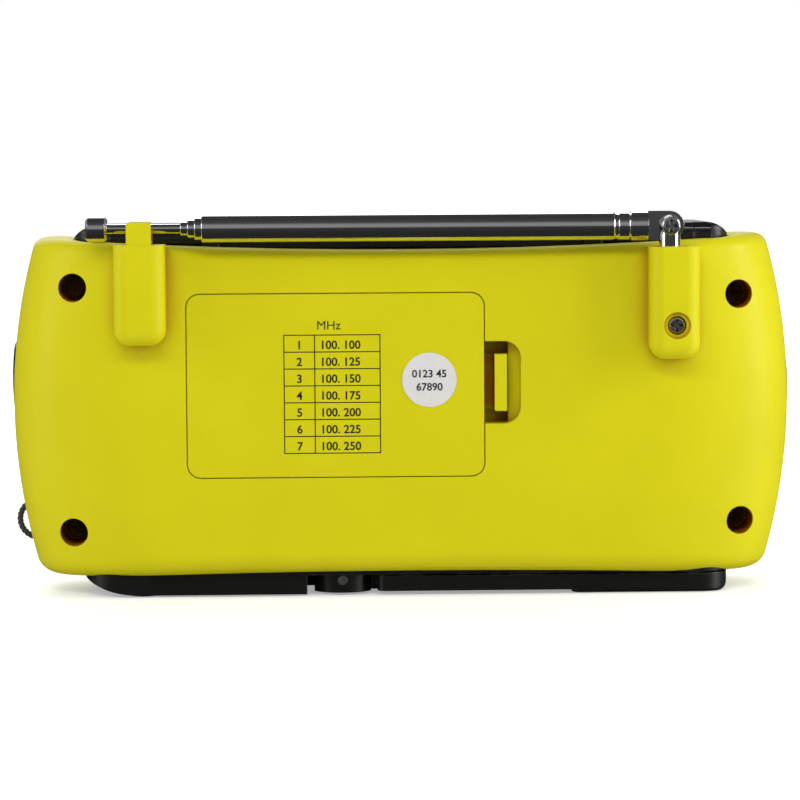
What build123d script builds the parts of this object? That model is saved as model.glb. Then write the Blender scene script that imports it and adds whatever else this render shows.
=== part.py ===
from build123d import *
import os
from math import acos, cos, pi, radians, sin, tan

# Wind-up, solar and battery emergency radio. Millimetres, +Z up, z = 0 where it rests.
# The speaker side faces -Y, the battery door side faces +Y, the origin is under the middle.

# ---------------------------------------------------------------- driving dimensions
# Case, front and rear shells together
CASE_HALF_WIDTH = 108.1
CASE_SIDE_RADIUS = 160.0
CASE_MID_Z = 53.0
CASE_BACK_Y = 24.0
SHOULDER_RADIUS = 60.0
SHOULDER_ANGLE = 25.0
CORNER_RADIUS = 22.0
FRONT_SIDE_RADIUS = 120.0
FRONT_SIDE_ANGLE = 9.0
TOP_MID_Z = 95.1
TOP_END_Z = 99.4
BOTTOM_MID_Z = 6.9
BOTTOM_END_Z = 4.6
TOP_FILLET = 4.0
BOTTOM_FILLET = 5.5
WALL = 2.2
CAVITY_LOW_Z = 12.5
CAVITY_HIGH_Z = 90.0
SHOULDER_DROP = SHOULDER_RADIUS * (1 - cos(radians(SHOULDER_ANGLE)))
CORNER_DROP = CORNER_RADIUS * cos(radians(SHOULDER_ANGLE))
PARTING_Y = CASE_BACK_Y - SHOULDER_DROP - CORNER_DROP
CASE_FRONT_Y = 2 * PARTING_Y - CASE_BACK_Y
FRONT_SIDE_DEPTH = FRONT_SIDE_RADIUS * sin(radians(FRONT_SIDE_ANGLE))
FRONT_CORNER_RADIUS = (PARTING_Y - CASE_FRONT_Y - FRONT_SIDE_DEPTH) / (1 - sin(radians(FRONT_SIDE_ANGLE)))
SEAM_Y = PARTING_Y + 0.4
FRONT_INNER_Y = CASE_FRONT_Y + WALL
BACK_INNER_Y = CASE_BACK_Y - WALL

# Case screws, sunk in deep wells
WELL_POINTS = ((90.1, 85.2), (-92.0, 82.3), (90.5, 18.2), (-92.5, 19.9))
WELL_RADIUS = 3.9
WELL_TUBE_RADIUS = 5.5
WELL_FLOOR_Y = 1.6
WELL_TUBE_END_Y = SEAM_Y
SCREW_SHANK_RADIUS = 1.45
SCREW_HEAD_RADIUS = 2.9
SCREW_HEAD_HEIGHT = 2.2
SCREW_END_Y = -13.0
RUN_GAP = 0.05

# Battery door and its latch
DOOR_X = (-21.8, 59.0)
DOOR_Z = (33.4, 83.3)
DOOR_CORNER = 3.6
DOOR_GAP = 0.25
DOOR_THICKNESS = 2.0
DOOR_HINGE_X = DOOR_X[1] + 0.4
DOOR_HINGE_Y = CASE_BACK_Y - 0.2
TAB_Z = (45.0, 71.7)
TAB_WIDTH = 8.0
LATCH_X = (-31.8, -21.6)
LATCH_Z = (47.6, 70.1)
LATCH_CORNER = 4.6
LATCH_SCOOP_X = -28.6
LATCH_FLOOR_Y = 13.6
TONGUE_Z = (51.0, 66.5)

# Batteries
BOX_X = (-19.3, 58.3)
BOX_Z = (35.0, 81.8)
BOX_Y = (3.2, 21.7)
BOX_WALL = 1.6
AA_RADIUS = 7.1
AA_LENGTH = 49.5
AA_PITCH = 14.5

# Telescopic antenna, folded along the top of the back
ANT_Y = 28.2
ANT_Z = 101.3
PIVOT_X = -72.0
TUBE_END_X = 54.5
TUBE_START_X = -66.0
SECTION_RADII = (3.75, 3.05, 2.45, 1.85, 1.3)
SECTION_WALL = 0.45
SECTION_STEP = 1.9
TUBE_ROLL = 0.38
CRIMP_X = (-57.4, -61.6)
CRIMP_RADIUS = 1.1
CRIMP_DEPTH = 0.3
SECTION_LENGTH = 112.0
TIP_CAP_X = (79.9, 85.6)
TIP_CAP_RADIUS = 3.4
BOSS_FACE_Y = 33.2
BOSS_CORNER = 4.2
BOSS_EDGE_RADIUS = 3.8
ANT_BOSS_X = (-80.0, -66.4)
ANT_BOSS_Z = (65.2, 95.7)
CLIP_BOSS_X = (64.4, 78.3)
CLIP_BOSS_Z = (69.8, 97.0)
CLIP_TAB_X = (67.9, 74.6)
CLIP_TOP_Z = 103.1
CLIP_HALF_GAP = 3.3
POST_RADIUS = 3.0
POST_FOOT_Z = 82.0
POST_NECK_Z = 96.6
POST_SEAT_HEIGHT = 0.2
POST_SCREW_X = -73.6
POST_SCREW_Z = 74.4
POST_SCREW_HEAD = 2.4
POST_SCREW_TOP_Y = 31.7
COUNTERBORE_RADIUS = 3.6
COUNTERBORE_DEPTH = 1.2
PIVOT_SCREW_HEAD = 2.5
PIVOT_SCREW_HEIGHT = 1.2

# Top deck and solar lid
DECK_HALF_WIDTH = 90.3
DECK_Y = (-22.0, 17.0)
DECK_Z = (92.4, 95.3)
DECK_CORNER = 6.9
LID_Z = (95.6, 102.0)
LID_Y = (-22.0, 13.0)
LID_END_DROP = 3.5
LID_END_RADIUS = 8.75
LID_HINGE_Y = 14.6
LID_HINGE_Z = 98.1
FIT_GAP = 0.3

# Base and crank
BASE_X = (-90.3, 88.0)
BASE_CORNER = 9.7
BASE_Y = (-20.5, 18.4)
BASE_TOP_Z = 8.2
BASE_LOW_Z = 0.5
CRANK_X = 17.0
CRANK_Y = 8.8
HUB_RADIUS = 8.75
HUB_Z = (0.7, 9.7)
FOLD_PIN_Z = 4.1
ARM_Z = (1.1, 5.4)
ARM_HALF_WIDTH = 9.0
ARM_END_X = -89.6
ARM_CORNER = 7.6
PAD_START_X = -46.0
PAD_LOW_Z = 0.2
CHANNEL_TOP_Z = 5.8
KNOB_X = -75.0
KNOB_RADIUS = 6.5

# Gear train from the crank to the dynamo
CRANK_TEETH = 34
PINION_TEETH = 14
MIDDLE_TEETH = 42
CRANK_MODULE = 0.65
ROTOR_MODULE = 0.45
PRESSURE_ANGLE = radians(20)
MIDDLE_X = CRANK_X - CRANK_MODULE * (CRANK_TEETH + PINION_TEETH) / 2
ROTOR_X = MIDDLE_X - ROTOR_MODULE * (MIDDLE_TEETH + PINION_TEETH) / 2
GEAR_FLOOR_Z = 13.3
PLATE_Z = (22.6, 24.0)
DYNAMO_RADIUS = 10.8

# Front: speaker, dial and controls
SPEAKER_X = -50.0
SPEAKER_Z = 54.0
GRILLE_RADIUS = 28.5
SPEAKER_RADIUS = 27.5
SPEAKER_MOUNT_Y = FRONT_INNER_Y + 0.6
DIAL_X = 42.0
DIAL_Z = 75.5
DIAL_SIZE = (79.0, 22.0)
BOARD_Y = (-5.6, -4.0)
CONTROL_Z = 34.0
VOLUME_X = 70.0
BAND_SWITCH_X = 38.0
LIGHT_SWITCH_X = 10.0
BUTTON_Z = 51.0
BUTTON_X = (14.0, 34.0)

# Sides: tuning knob on +X, torch on -X, cord loop low on +X
SIDE_CONTROL_Y = -13.8
TUNING_Z = 58.5
TUNING_RADIUS = 11.0
TORCH_Z = 55.3
TORCH_RADIUS = 11.4
LOOP_X = 102.4
LOOP_Y = -10.0
LOOP_Z = 19.1
LOOP_RADIUS = 5.3
CORD_RADIUS = 0.8

os.makedirs("parts", exist_ok=True)


def back_plane(y):
    """Plane facing -Y at the given depth, with local axes X and Z."""
    return Plane.XZ.offset(-y)


def case_solid(inset):
    """The whole case as one pebble-shaped solid, shrunk inwards by inset."""
    flat_x = CASE_HALF_WIDTH
    flat_x -= SHOULDER_RADIUS * sin(radians(SHOULDER_ANGLE))
    flat_x -= CORNER_RADIUS * (1 - sin(radians(SHOULDER_ANGLE)))
    axis_x = CASE_HALF_WIDTH - CASE_SIDE_RADIUS
    back_y = CASE_BACK_Y - inset
    with BuildPart() as solid:
        with BuildSketch(Plane.XY.offset(CASE_MID_Z)):
            with BuildLine():
                flat = Line((axis_x, back_y), (flat_x, back_y))
                shoulder = JernArc(flat @ 1, (1, 0), SHOULDER_RADIUS - inset, -SHOULDER_ANGLE)
                corner = JernArc(shoulder @ 1, shoulder % 1, CORNER_RADIUS - inset, SHOULDER_ANGLE - 90)
                side = JernArc(corner @ 1, (0, -1), FRONT_SIDE_RADIUS - inset, -FRONT_SIDE_ANGLE)
                front = JernArc(side @ 1, side % 1, FRONT_CORNER_RADIUS - inset, FRONT_SIDE_ANGLE - 90)
                Line(front @ 1, (axis_x, (front @ 1).Y))
                Line((axis_x, (front @ 1).Y), flat @ 0)
            make_face()
        revolve(axis=Axis((axis_x, 0, CASE_MID_Z), (0, 1, 0)))
        mirror(about=Plane.YZ, mode=Mode.INTERSECT)
        with BuildSketch(Plane.XZ):
            end_x = CASE_HALF_WIDTH + 10
            top = (TOP_MID_Z - inset, TOP_END_Z - inset)
            low = (BOTTOM_MID_Z + inset, BOTTOM_END_Z + inset)
            with BuildLine():
                upper = ThreePointArc((-end_x, top[1] + 0.8), (0, top[0]), (end_x, top[1] + 0.8))
                lower = ThreePointArc((-end_x, low[1]), (0, low[0]), (end_x, low[1]))
                Line(upper @ 0, lower @ 0)
                Line(upper @ 1, lower @ 1)
            make_face()
        extrude(amount=CASE_HALF_WIDTH, both=True, mode=Mode.INTERSECT)
        fillet(solid.faces().sort_by(Axis.Z)[-1].edges(), TOP_FILLET - min(inset, WALL) * 0.9)
        fillet(solid.faces().sort_by(Axis.Z)[0].edges(), BOTTOM_FILLET - min(inset, WALL) * 0.9)
    return solid.part


case_outer = case_solid(0)
case_inner = case_solid(WALL)


def block(x, y, z):
    """A plain block between three pairs of limits, used to cut or to build up walls."""
    with BuildPart() as solid:
        with BuildSketch(Plane.XY.offset(z[0])):
            with Locations(((x[0] + x[1]) / 2, (y[0] + y[1]) / 2)):
                Rectangle(x[1] - x[0], y[1] - y[0])
        extrude(amount=z[1] - z[0])
    return solid.part


def panel(x, z, y, corner):
    """A plate facing +Y and -Y with rounded corners in the X and Z directions."""
    with BuildPart() as solid:
        with BuildSketch(back_plane(y[1])):
            with Locations(((x[0] + x[1]) / 2, (z[0] + z[1]) / 2)):
                RectangleRounded(x[1] - x[0], z[1] - z[0], corner)
        extrude(amount=y[1] - y[0])
    return solid.part


def tray(x, y, z, corner):
    """A block between three pairs of limits whose upright edges are rounded."""
    with BuildPart() as solid:
        with BuildSketch(Plane.XY.offset(z[0])):
            with Locations(((x[0] + x[1]) / 2, (y[0] + y[1]) / 2)):
                RectangleRounded(x[1] - x[0], y[1] - y[0], corner)
        extrude(amount=z[1] - z[0])
    return solid.part


def rod_y(points, radius, y):
    """Round bars along Y at the given (x, z) points, between two depths."""
    with BuildPart() as solid:
        with BuildSketch(back_plane(y[1])):
            with Locations(*points):
                Circle(radius)
        extrude(amount=y[1] - y[0])
    return solid.part


def rod_x(y, z, radius, x):
    """A round bar along X."""
    with BuildPart() as solid:
        with BuildSketch(Plane.YZ.offset(x[0])):
            with Locations((y, z)):
                Circle(radius)
        extrude(amount=x[1] - x[0])
    return solid.part


def rod_z(x, y, radius, z):
    """A round bar along Z."""
    with BuildPart() as solid:
        with BuildSketch(Plane.XY.offset(z[0])):
            with Locations((x, y)):
                Circle(radius)
        extrude(amount=z[1] - z[0])
    return solid.part


def cross_recess(points, y, depth, span=2.6, width=0.8):
    """Phillips recesses cut into screw heads whose tops face +Y at depth y."""
    with BuildPart() as solid:
        with BuildSketch(back_plane(y)):
            with Locations(*points):
                Rectangle(span, width)
                Rectangle(width, span)
        extrude(amount=depth)
    return solid.part


# ---------------------------------------------------------------- case shells
deck_pocket = tray((-DECK_HALF_WIDTH - FIT_GAP, DECK_HALF_WIDTH + FIT_GAP),
                   (DECK_Y[0] - FIT_GAP, DECK_Y[1] + FIT_GAP), (DECK_Z[0], 110), DECK_CORNER + FIT_GAP)
base_pocket = tray((BASE_X[0] - FIT_GAP, BASE_X[1] + FIT_GAP),
                   (BASE_Y[0] - FIT_GAP, BASE_Y[1] + FIT_GAP), (-5, BASE_TOP_Z + FIT_GAP), BASE_CORNER + FIT_GAP)
hub_pocket = rod_z(CRANK_X, CRANK_Y, HUB_RADIUS + 0.6, (0, HUB_Z[1] + 0.4))
shaft_hole = rod_z(CRANK_X, CRANK_Y, 2.0 + RUN_GAP, (0, 20))
tuning_hole = rod_x(SIDE_CONTROL_Y, TUNING_Z, TUNING_RADIUS + 0.5, (97.0, 115))
torch_hole = rod_x(SIDE_CONTROL_Y, TORCH_Z, TORCH_RADIUS + 0.1, (-115, -97.0))

with BuildPart() as case_hollow:
    add(case_inner)
    add(block((-120, 120), (-60, 60), (CAVITY_LOW_Z, CAVITY_HIGH_Z)), mode=Mode.INTERSECT)


def shell_half(y):
    """The hollow case between two depths, with the pockets and openings both shells share."""
    with BuildPart() as half:
        add(case_outer)
        add(block((-120, 120), y, (-20, 120)), mode=Mode.INTERSECT)
        add(case_hollow.part, mode=Mode.SUBTRACT)
        for cut in (deck_pocket, base_pocket, hub_pocket, shaft_hole, tuning_hole, torch_hole):
            add(cut, mode=Mode.SUBTRACT)
    return half.part


# Well tubes reach from the parting plane to the outside of the back, and follow its curve
with BuildPart() as well_tubes:
    add(rod_y(WELL_POINTS, WELL_TUBE_RADIUS, (WELL_TUBE_END_Y, CASE_BACK_Y)))
    add(case_outer, mode=Mode.INTERSECT)

with BuildPart() as latch_cup:
    add(panel((LATCH_X[0] - 2, LATCH_X[1] - 0.1), (LATCH_Z[0] - 2, LATCH_Z[1] + 2),
              (LATCH_FLOOR_Y - 1.6, BACK_INNER_Y), 2))

# The latch recess is deep beside the door and shallow, with a sloping floor, under the finger
with BuildPart() as latch_recess:
    with BuildSketch(back_plane(CASE_BACK_Y + 1)):
        with BuildLine():
            straight = Line((DOOR_X[0] + 1, LATCH_Z[0]), (LATCH_X[0] + LATCH_CORNER, LATCH_Z[0]))
            RadiusArc(straight @ 1, (LATCH_X[0], LATCH_Z[0] + LATCH_CORNER), LATCH_CORNER)
            Line((LATCH_X[0], LATCH_Z[0] + LATCH_CORNER), (LATCH_X[0], LATCH_Z[1] - LATCH_CORNER))
            far = Line((DOOR_X[0] + 1, LATCH_Z[1]), (LATCH_X[0] + LATCH_CORNER, LATCH_Z[1]))
            RadiusArc(far @ 1, (LATCH_X[0], LATCH_Z[1] - LATCH_CORNER), -LATCH_CORNER)
            Line(straight @ 0, far @ 0)
        make_face()
    extrude(amount=CASE_BACK_Y + 1 - LATCH_FLOOR_Y)
    with BuildSketch(Plane.XY.offset(LATCH_Z[0] - 1)):
        with BuildLine():
            Polyline((LATCH_SCOOP_X, LATCH_FLOOR_Y - 1), (LATCH_SCOOP_X, 19.6), (LATCH_X[0] - 0.5, 21.6),
                     (LATCH_X[0] - 0.5, LATCH_FLOOR_Y - 1), close=True)
        make_face()
    extrude(amount=LATCH_Z[1] - LATCH_Z[0] + 2, mode=Mode.SUBTRACT)

# Undercut below the finger scoop, where the latch hook sits
latch_groove = block((LATCH_SCOOP_X - 0.8, LATCH_SCOOP_X + 0.1), (16.6, 18.9), (TONGUE_Z[0] - 0.5, TONGUE_Z[1] + 0.5))

door_opening = panel((DOOR_X[0] - DOOR_GAP, DOOR_X[1] + DOOR_GAP), (DOOR_Z[0] - DOOR_GAP, DOOR_Z[1] + DOOR_GAP),
                     (BACK_INNER_Y - 1, CASE_BACK_Y + 1), DOOR_CORNER + DOOR_GAP)


def back_boss(x, z):
    """A raised block on the back that carries the antenna, with rounded corners and edges."""
    with BuildPart() as boss:
        with BuildSketch(back_plane(BOSS_FACE_Y)) as face:
            with Locations(((x[0] + x[1]) / 2, (z[0] + z[1]) / 2)):
                Rectangle(x[1] - x[0], z[1] - z[0])
            fillet(face.vertices().group_by(Axis.Y)[0], BOSS_CORNER)
        extrude(amount=BOSS_FACE_Y - BACK_INNER_Y)
        face_edges = boss.faces().sort_by(Axis.Y)[-1].edges().sort_by(Axis.Z)
        fillet(face_edges[:-1], BOSS_EDGE_RADIUS)
    return boss.part


clip_middle_x = (CLIP_TAB_X[0] + CLIP_TAB_X[1]) / 2
clip_low_z = ANT_Z - CLIP_HALF_GAP
with BuildPart() as clip_walls:
    with BuildSketch(back_plane(BOSS_FACE_Y - 0.1)):
        with Locations((clip_middle_x, (CLIP_TOP_Z + clip_low_z - 6) / 2)):
            RectangleRounded(CLIP_TAB_X[1] - CLIP_TAB_X[0], CLIP_TOP_Z - clip_low_z + 6, 0.9)
    extrude(amount=BOSS_FACE_Y - 0.1 - (ANT_Y - CLIP_HALF_GAP - 1.5))
    add(block((60, 80), (ANT_Y - CLIP_HALF_GAP, ANT_Y + CLIP_HALF_GAP), (clip_low_z, 110)), mode=Mode.SUBTRACT)

post_pocket_x = (-76.9, -68.0)
post_pocket = block(post_pocket_x, (ANT_Y - 3.2, ANT_Y + 3.2), (ANT_BOSS_Z[0] + 3, 110))

with BuildPart() as rear_shell:
    add(shell_half((SEAM_Y, 60)))
    add(well_tubes.part)
    add(latch_cup.part)
    add(back_boss(ANT_BOSS_X, ANT_BOSS_Z))
    add(back_boss(CLIP_BOSS_X, CLIP_BOSS_Z))
    add(clip_walls.part)
    add(rod_y([(POST_SCREW_X, POST_SCREW_Z)], 3.5, (14.0, BACK_INNER_Y)))
    add(latch_recess.part, mode=Mode.SUBTRACT)
    add(door_opening, mode=Mode.SUBTRACT)
    add(latch_groove, mode=Mode.SUBTRACT)
    add(rod_y(WELL_POINTS, WELL_RADIUS, (WELL_FLOOR_Y, BOSS_FACE_Y)), mode=Mode.SUBTRACT)
    add(rod_y(WELL_POINTS, SCREW_SHANK_RADIUS + 0.3, (-5, WELL_FLOOR_Y)), mode=Mode.SUBTRACT)
    add(post_pocket, mode=Mode.SUBTRACT)
    add(rod_y([(POST_SCREW_X, POST_SCREW_Z)], COUNTERBORE_RADIUS, (BOSS_FACE_Y - COUNTERBORE_DEPTH, BOSS_FACE_Y + 1)),
        mode=Mode.SUBTRACT)
    add(rod_y([(POST_SCREW_X, POST_SCREW_Z)], POST_SCREW_HEAD + 0.15, (ANT_Y, BOSS_FACE_Y)), mode=Mode.SUBTRACT)
    add(rod_y([(POST_SCREW_X, POST_SCREW_Z)], 1.5, (16.0, BOSS_FACE_Y)), mode=Mode.SUBTRACT)
rear_shell.part.label = "rear_shell"
export_step(rear_shell.part, "parts/rear_shell.step")

with BuildPart() as front_posts:
    add(rod_y(WELL_POINTS, 4.5, (CASE_FRONT_Y, SEAM_Y)))
    add(case_outer, mode=Mode.INTERSECT)

button_points = [(x, BUTTON_Z) for x in BUTTON_X]
switch_points = [(x, CONTROL_Z) for x in (BAND_SWITCH_X, LIGHT_SWITCH_X)]
socket_points = [(-11.0, 40.0), (-11.0, 25.0)]
led_points = [(48.0, BUTTON_Z), (54.0, BUTTON_Z)]
dial_x = (DIAL_X - DIAL_SIZE[0] / 2, DIAL_X + DIAL_SIZE[0] / 2)
dial_z = (DIAL_Z - DIAL_SIZE[1] / 2, DIAL_Z + DIAL_SIZE[1] / 2)

with BuildPart() as front_shell:
    add(shell_half((-60, SEAM_Y)))
    add(front_posts.part)
    add(rod_y(WELL_POINTS, SCREW_SHANK_RADIUS + RUN_GAP, (-22, 0)), mode=Mode.SUBTRACT)
    add(rod_y([(SPEAKER_X, SPEAKER_Z)], GRILLE_RADIUS + 0.3, (CASE_FRONT_Y - 2, CASE_FRONT_Y + 1.2)), mode=Mode.SUBTRACT)
    add(rod_y([(SPEAKER_X, SPEAKER_Z)], 25.5, (CASE_FRONT_Y - 2, FRONT_INNER_Y + 1)), mode=Mode.SUBTRACT)
    add(panel((dial_x[0] - 0.2, dial_x[1] + 0.2), (dial_z[0] - 0.2, dial_z[1] + 0.2),
              (CASE_FRONT_Y - 2, CASE_FRONT_Y + 1.2), 3.2), mode=Mode.SUBTRACT)
    add(panel((dial_x[0] + 2, dial_x[1] - 2), (dial_z[0] + 2, dial_z[1] - 2),
              (CASE_FRONT_Y - 2, FRONT_INNER_Y + 1), 2), mode=Mode.SUBTRACT)
    add(rod_y([(VOLUME_X, CONTROL_Z)], 3.6, (CASE_FRONT_Y - 2, FRONT_INNER_Y + 1)), mode=Mode.SUBTRACT)
    add(rod_y(button_points, 4.3, (CASE_FRONT_Y - 2, FRONT_INNER_Y + 1)), mode=Mode.SUBTRACT)
    add(rod_y(socket_points, 3.0, (CASE_FRONT_Y - 2, FRONT_INNER_Y + 1)), mode=Mode.SUBTRACT)
    add(rod_y(led_points, 1.6, (CASE_FRONT_Y - 2, FRONT_INNER_Y + 1)), mode=Mode.SUBTRACT)
    for switch_x, switch_z in switch_points:
        add(panel((switch_x - 7, switch_x + 7), (switch_z - 2.4, switch_z + 2.4),
                  (CASE_FRONT_Y - 2, FRONT_INNER_Y + 1), 1), mode=Mode.SUBTRACT)
    # Side pocket for the cord loop, crossed by a bar that the cord is threaded round
    add(block((92.0, 103.0), (LOOP_Y - 4.0, LOOP_Y + 4.0), (10.0, 28.6)))
    add(case_outer, mode=Mode.INTERSECT)
    add(deck_pocket, mode=Mode.SUBTRACT)
    add(base_pocket, mode=Mode.SUBTRACT)
    add(block((93.6, 115), (LOOP_Y - 2.5, LOOP_Y + 2.5), (12.6, 26.8)), mode=Mode.SUBTRACT)
    add(rod_y([(100.2, LOOP_Z)], 1.1, (LOOP_Y - 3.0, LOOP_Y + 3.0)))
    add(rod_y(WELL_POINTS, SCREW_SHANK_RADIUS + RUN_GAP, (-22, 0)), mode=Mode.SUBTRACT)
front_shell.part.label = "front_shell"
export_step(front_shell.part, "parts/front_shell.step")

with BuildPart() as case_screws:
    add(rod_y(WELL_POINTS, SCREW_HEAD_RADIUS, (WELL_FLOOR_Y, WELL_FLOOR_Y + SCREW_HEAD_HEIGHT)))
    add(rod_y(WELL_POINTS, SCREW_SHANK_RADIUS, (SCREW_END_Y, WELL_FLOOR_Y)))
    add(cross_recess(WELL_POINTS, WELL_FLOOR_Y + SCREW_HEAD_HEIGHT, 1.2, 3.4, 0.9), mode=Mode.SUBTRACT)
case_screws.part.label = "case_screws"
export_step(case_screws.part, "parts/case_screws.step")

# ---------------------------------------------------------------- battery door and batteries
door_middle_z = (DOOR_Z[0] + DOOR_Z[1]) / 2
with BuildPart() as battery_door:
    add(panel(DOOR_X, DOOR_Z, (CASE_BACK_Y - DOOR_THICKNESS, CASE_BACK_Y), DOOR_CORNER))
    # U-shaped spring tongue beside the door edge, with a small hook under the scoop
    with BuildSketch(Plane.XY.offset(TONGUE_Z[0])):
        with BuildLine():
            Polyline((-20.6, 22.5), (-21.7, 22.5), (-21.7, 15.5), (-24.7, 15.5), (-24.7, 23.6), (-28.1, 23.6),
                     (-28.1, 18.6), (-28.7, 18.2), (-28.1, 17.2), (-26.0, 14.2), (-20.6, 14.2), close=True)
        make_face()
    extrude(amount=TONGUE_Z[1] - TONGUE_Z[0])
    for tab_z in TAB_Z:
        add(block((DOOR_X[1] - 3.5, DOOR_X[1]), (20.0, CASE_BACK_Y - 1), (tab_z - TAB_WIDTH / 2, tab_z + TAB_WIDTH / 2)))
        add(block((DOOR_X[1] - 3.5, DOOR_X[1] + 2), (20.0, 21.5), (tab_z - TAB_WIDTH / 2, tab_z + TAB_WIDTH / 2)))
battery_door.part.label = "battery_door"
export_step(battery_door.part, "parts/battery_door.step")

LABEL_X = -6.9
LABEL_Z = 59.7
label_disc = rod_y([(LABEL_X, LABEL_Z)], 7.4, (CASE_BACK_Y, CASE_BACK_Y + 0.15))
label_disc.label = "round_label"
export_step(label_disc, "parts/round_label.step")

with BuildPart() as battery_box:
    add(block(BOX_X, BOX_Y, BOX_Z))
    add(panel((BOX_X[0] - 1.5, BOX_X[1] + 3.4), (BOX_Z[0] - 4, BOX_Z[1] + 4), (BOX_Y[1] - 1.5, BOX_Y[1]), 2))
    add(block((BOX_X[0] + BOX_WALL, BOX_X[1] - BOX_WALL), (BOX_Y[0] + BOX_WALL, 30),
              (BOX_Z[0] + BOX_WALL, BOX_Z[1] - BOX_WALL)), mode=Mode.SUBTRACT)
    add(block((1.2, 2.8), BOX_Y, BOX_Z))
    for tab_z in TAB_Z:
        add(block((DOOR_X[1] - 4.4, 70), (18.4, 30), (tab_z - TAB_WIDTH / 2 - 0.5, tab_z + TAB_WIDTH / 2 + 0.5)),
            mode=Mode.SUBTRACT)
    add(block((-30, -19.9), (10, 30), (LATCH_Z[0] - 2.6, LATCH_Z[1] + 2.6)), mode=Mode.SUBTRACT)
battery_box.part.label = "battery_box"
export_step(battery_box.part, "parts/battery_box.step")

AA_START_X = 4.3
AA_Y = 12.2
with BuildPart() as aa_cells:
    for row in (-1, 0, 1):
        cell_z = door_middle_z + row * AA_PITCH
        add(rod_x(AA_Y, cell_z, AA_RADIUS, (AA_START_X, AA_START_X + AA_LENGTH)))
        add(rod_x(AA_Y, cell_z, 2.7, (AA_START_X + AA_LENGTH, AA_START_X + AA_LENGTH + 1.0)))
aa_cells.part.label = "aa_cells"
export_step(aa_cells.part, "parts/aa_cells.step")

with BuildPart() as battery_springs:
    for row in (-1, 0, 1):
        cell_z = door_middle_z + row * AA_PITCH
        add(rod_x(AA_Y, cell_z, 4.5, (2.85, 4.25)))
        add(rod_x(AA_Y, cell_z, 4.5, (AA_START_X + AA_LENGTH + 1.05, BOX_X[1] - BOX_WALL - RUN_GAP)))
battery_springs.part.label = "battery_springs"
export_step(battery_springs.part, "parts/battery_springs.step")

with BuildPart() as backup_cells:
    for step in (-1, 0, 1):
        cell_low = door_middle_z + step * 6.4 - 3.0
        add(rod_z(-8.2, AA_Y, 7.2, (cell_low, cell_low + 6.0)))
backup_cells.part.label = "backup_cells"
export_step(backup_cells.part, "parts/backup_cells.step")

# ---------------------------------------------------------------- telescopic antenna
LAP_GAP = 0.1
SEAT_Y = ANT_Y + POST_RADIUS + POST_SEAT_HEIGHT
FOOT_Y = (ANT_Y - 1.6, ANT_Y + 1.4)
with BuildPart() as antenna_post:
    # Round post with a domed head; the rear half of the head is cut away for the tube's flat
    add(rod_z(PIVOT_X, ANT_Y, POST_RADIUS, (POST_FOOT_Z, ANT_Z)))
    with Locations((PIVOT_X, ANT_Y, ANT_Z)):
        Sphere(POST_RADIUS)
    add(rod_y([(PIVOT_X, ANT_Z)], PIVOT_SCREW_HEAD + 0.1, (ANT_Y, SEAT_Y)))
    add(block((PIVOT_X - 5, PIVOT_X + 5), (ANT_Y - 5, ANT_Y + LAP_GAP), (POST_NECK_Z, ANT_Z + 5)), mode=Mode.SUBTRACT)
    add(block((-76.7, -68.3), FOOT_Y, (POST_SCREW_Z - 4.4, POST_FOOT_Z + 2)))
    add(rod_y([(PIVOT_X, ANT_Z)], 1.5 + RUN_GAP, (20, 40)), mode=Mode.SUBTRACT)
    add(rod_y([(POST_SCREW_X, POST_SCREW_Z)], 1.5, (20, 40)), mode=Mode.SUBTRACT)
antenna_post.part.label = "antenna_post"
export_step(antenna_post.part, "parts/antenna_post.step")

post_screw_point = [(POST_SCREW_X, POST_SCREW_Z)]
with BuildPart() as post_screw:
    add(rod_y(post_screw_point, POST_SCREW_HEAD, (FOOT_Y[1], POST_SCREW_TOP_Y)))
    fillet(post_screw.edges().filter_by(GeomType.CIRCLE).sort_by(Axis.Y)[-1], 0.7)
    add(rod_y(post_screw_point, 1.4, (17.0, FOOT_Y[1])))
    add(cross_recess(post_screw_point, POST_SCREW_TOP_Y, 1.1, 3.2, 0.9), mode=Mode.SUBTRACT)
post_screw.part.label = "post_screw"
export_step(post_screw.part, "parts/post_screw.step")

pivot_point = [(PIVOT_X, ANT_Z)]
with BuildPart() as pivot_screw:
    add(rod_y(pivot_point, PIVOT_SCREW_HEAD, (SEAT_Y, SEAT_Y + PIVOT_SCREW_HEIGHT)))
    fillet(pivot_screw.edges().filter_by(GeomType.CIRCLE).sort_by(Axis.Y)[-1], 0.6)
    add(rod_y(pivot_point, 1.5, (ANT_Y - 3.0, SEAT_Y)))
    add(cross_recess(pivot_point, SEAT_Y + PIVOT_SCREW_HEIGHT, 0.9, 3.4, 0.9), mode=Mode.SUBTRACT)
pivot_screw.part.label = "pivot_screw"
export_step(pivot_screw.part, "parts/pivot_screw.step")

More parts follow.
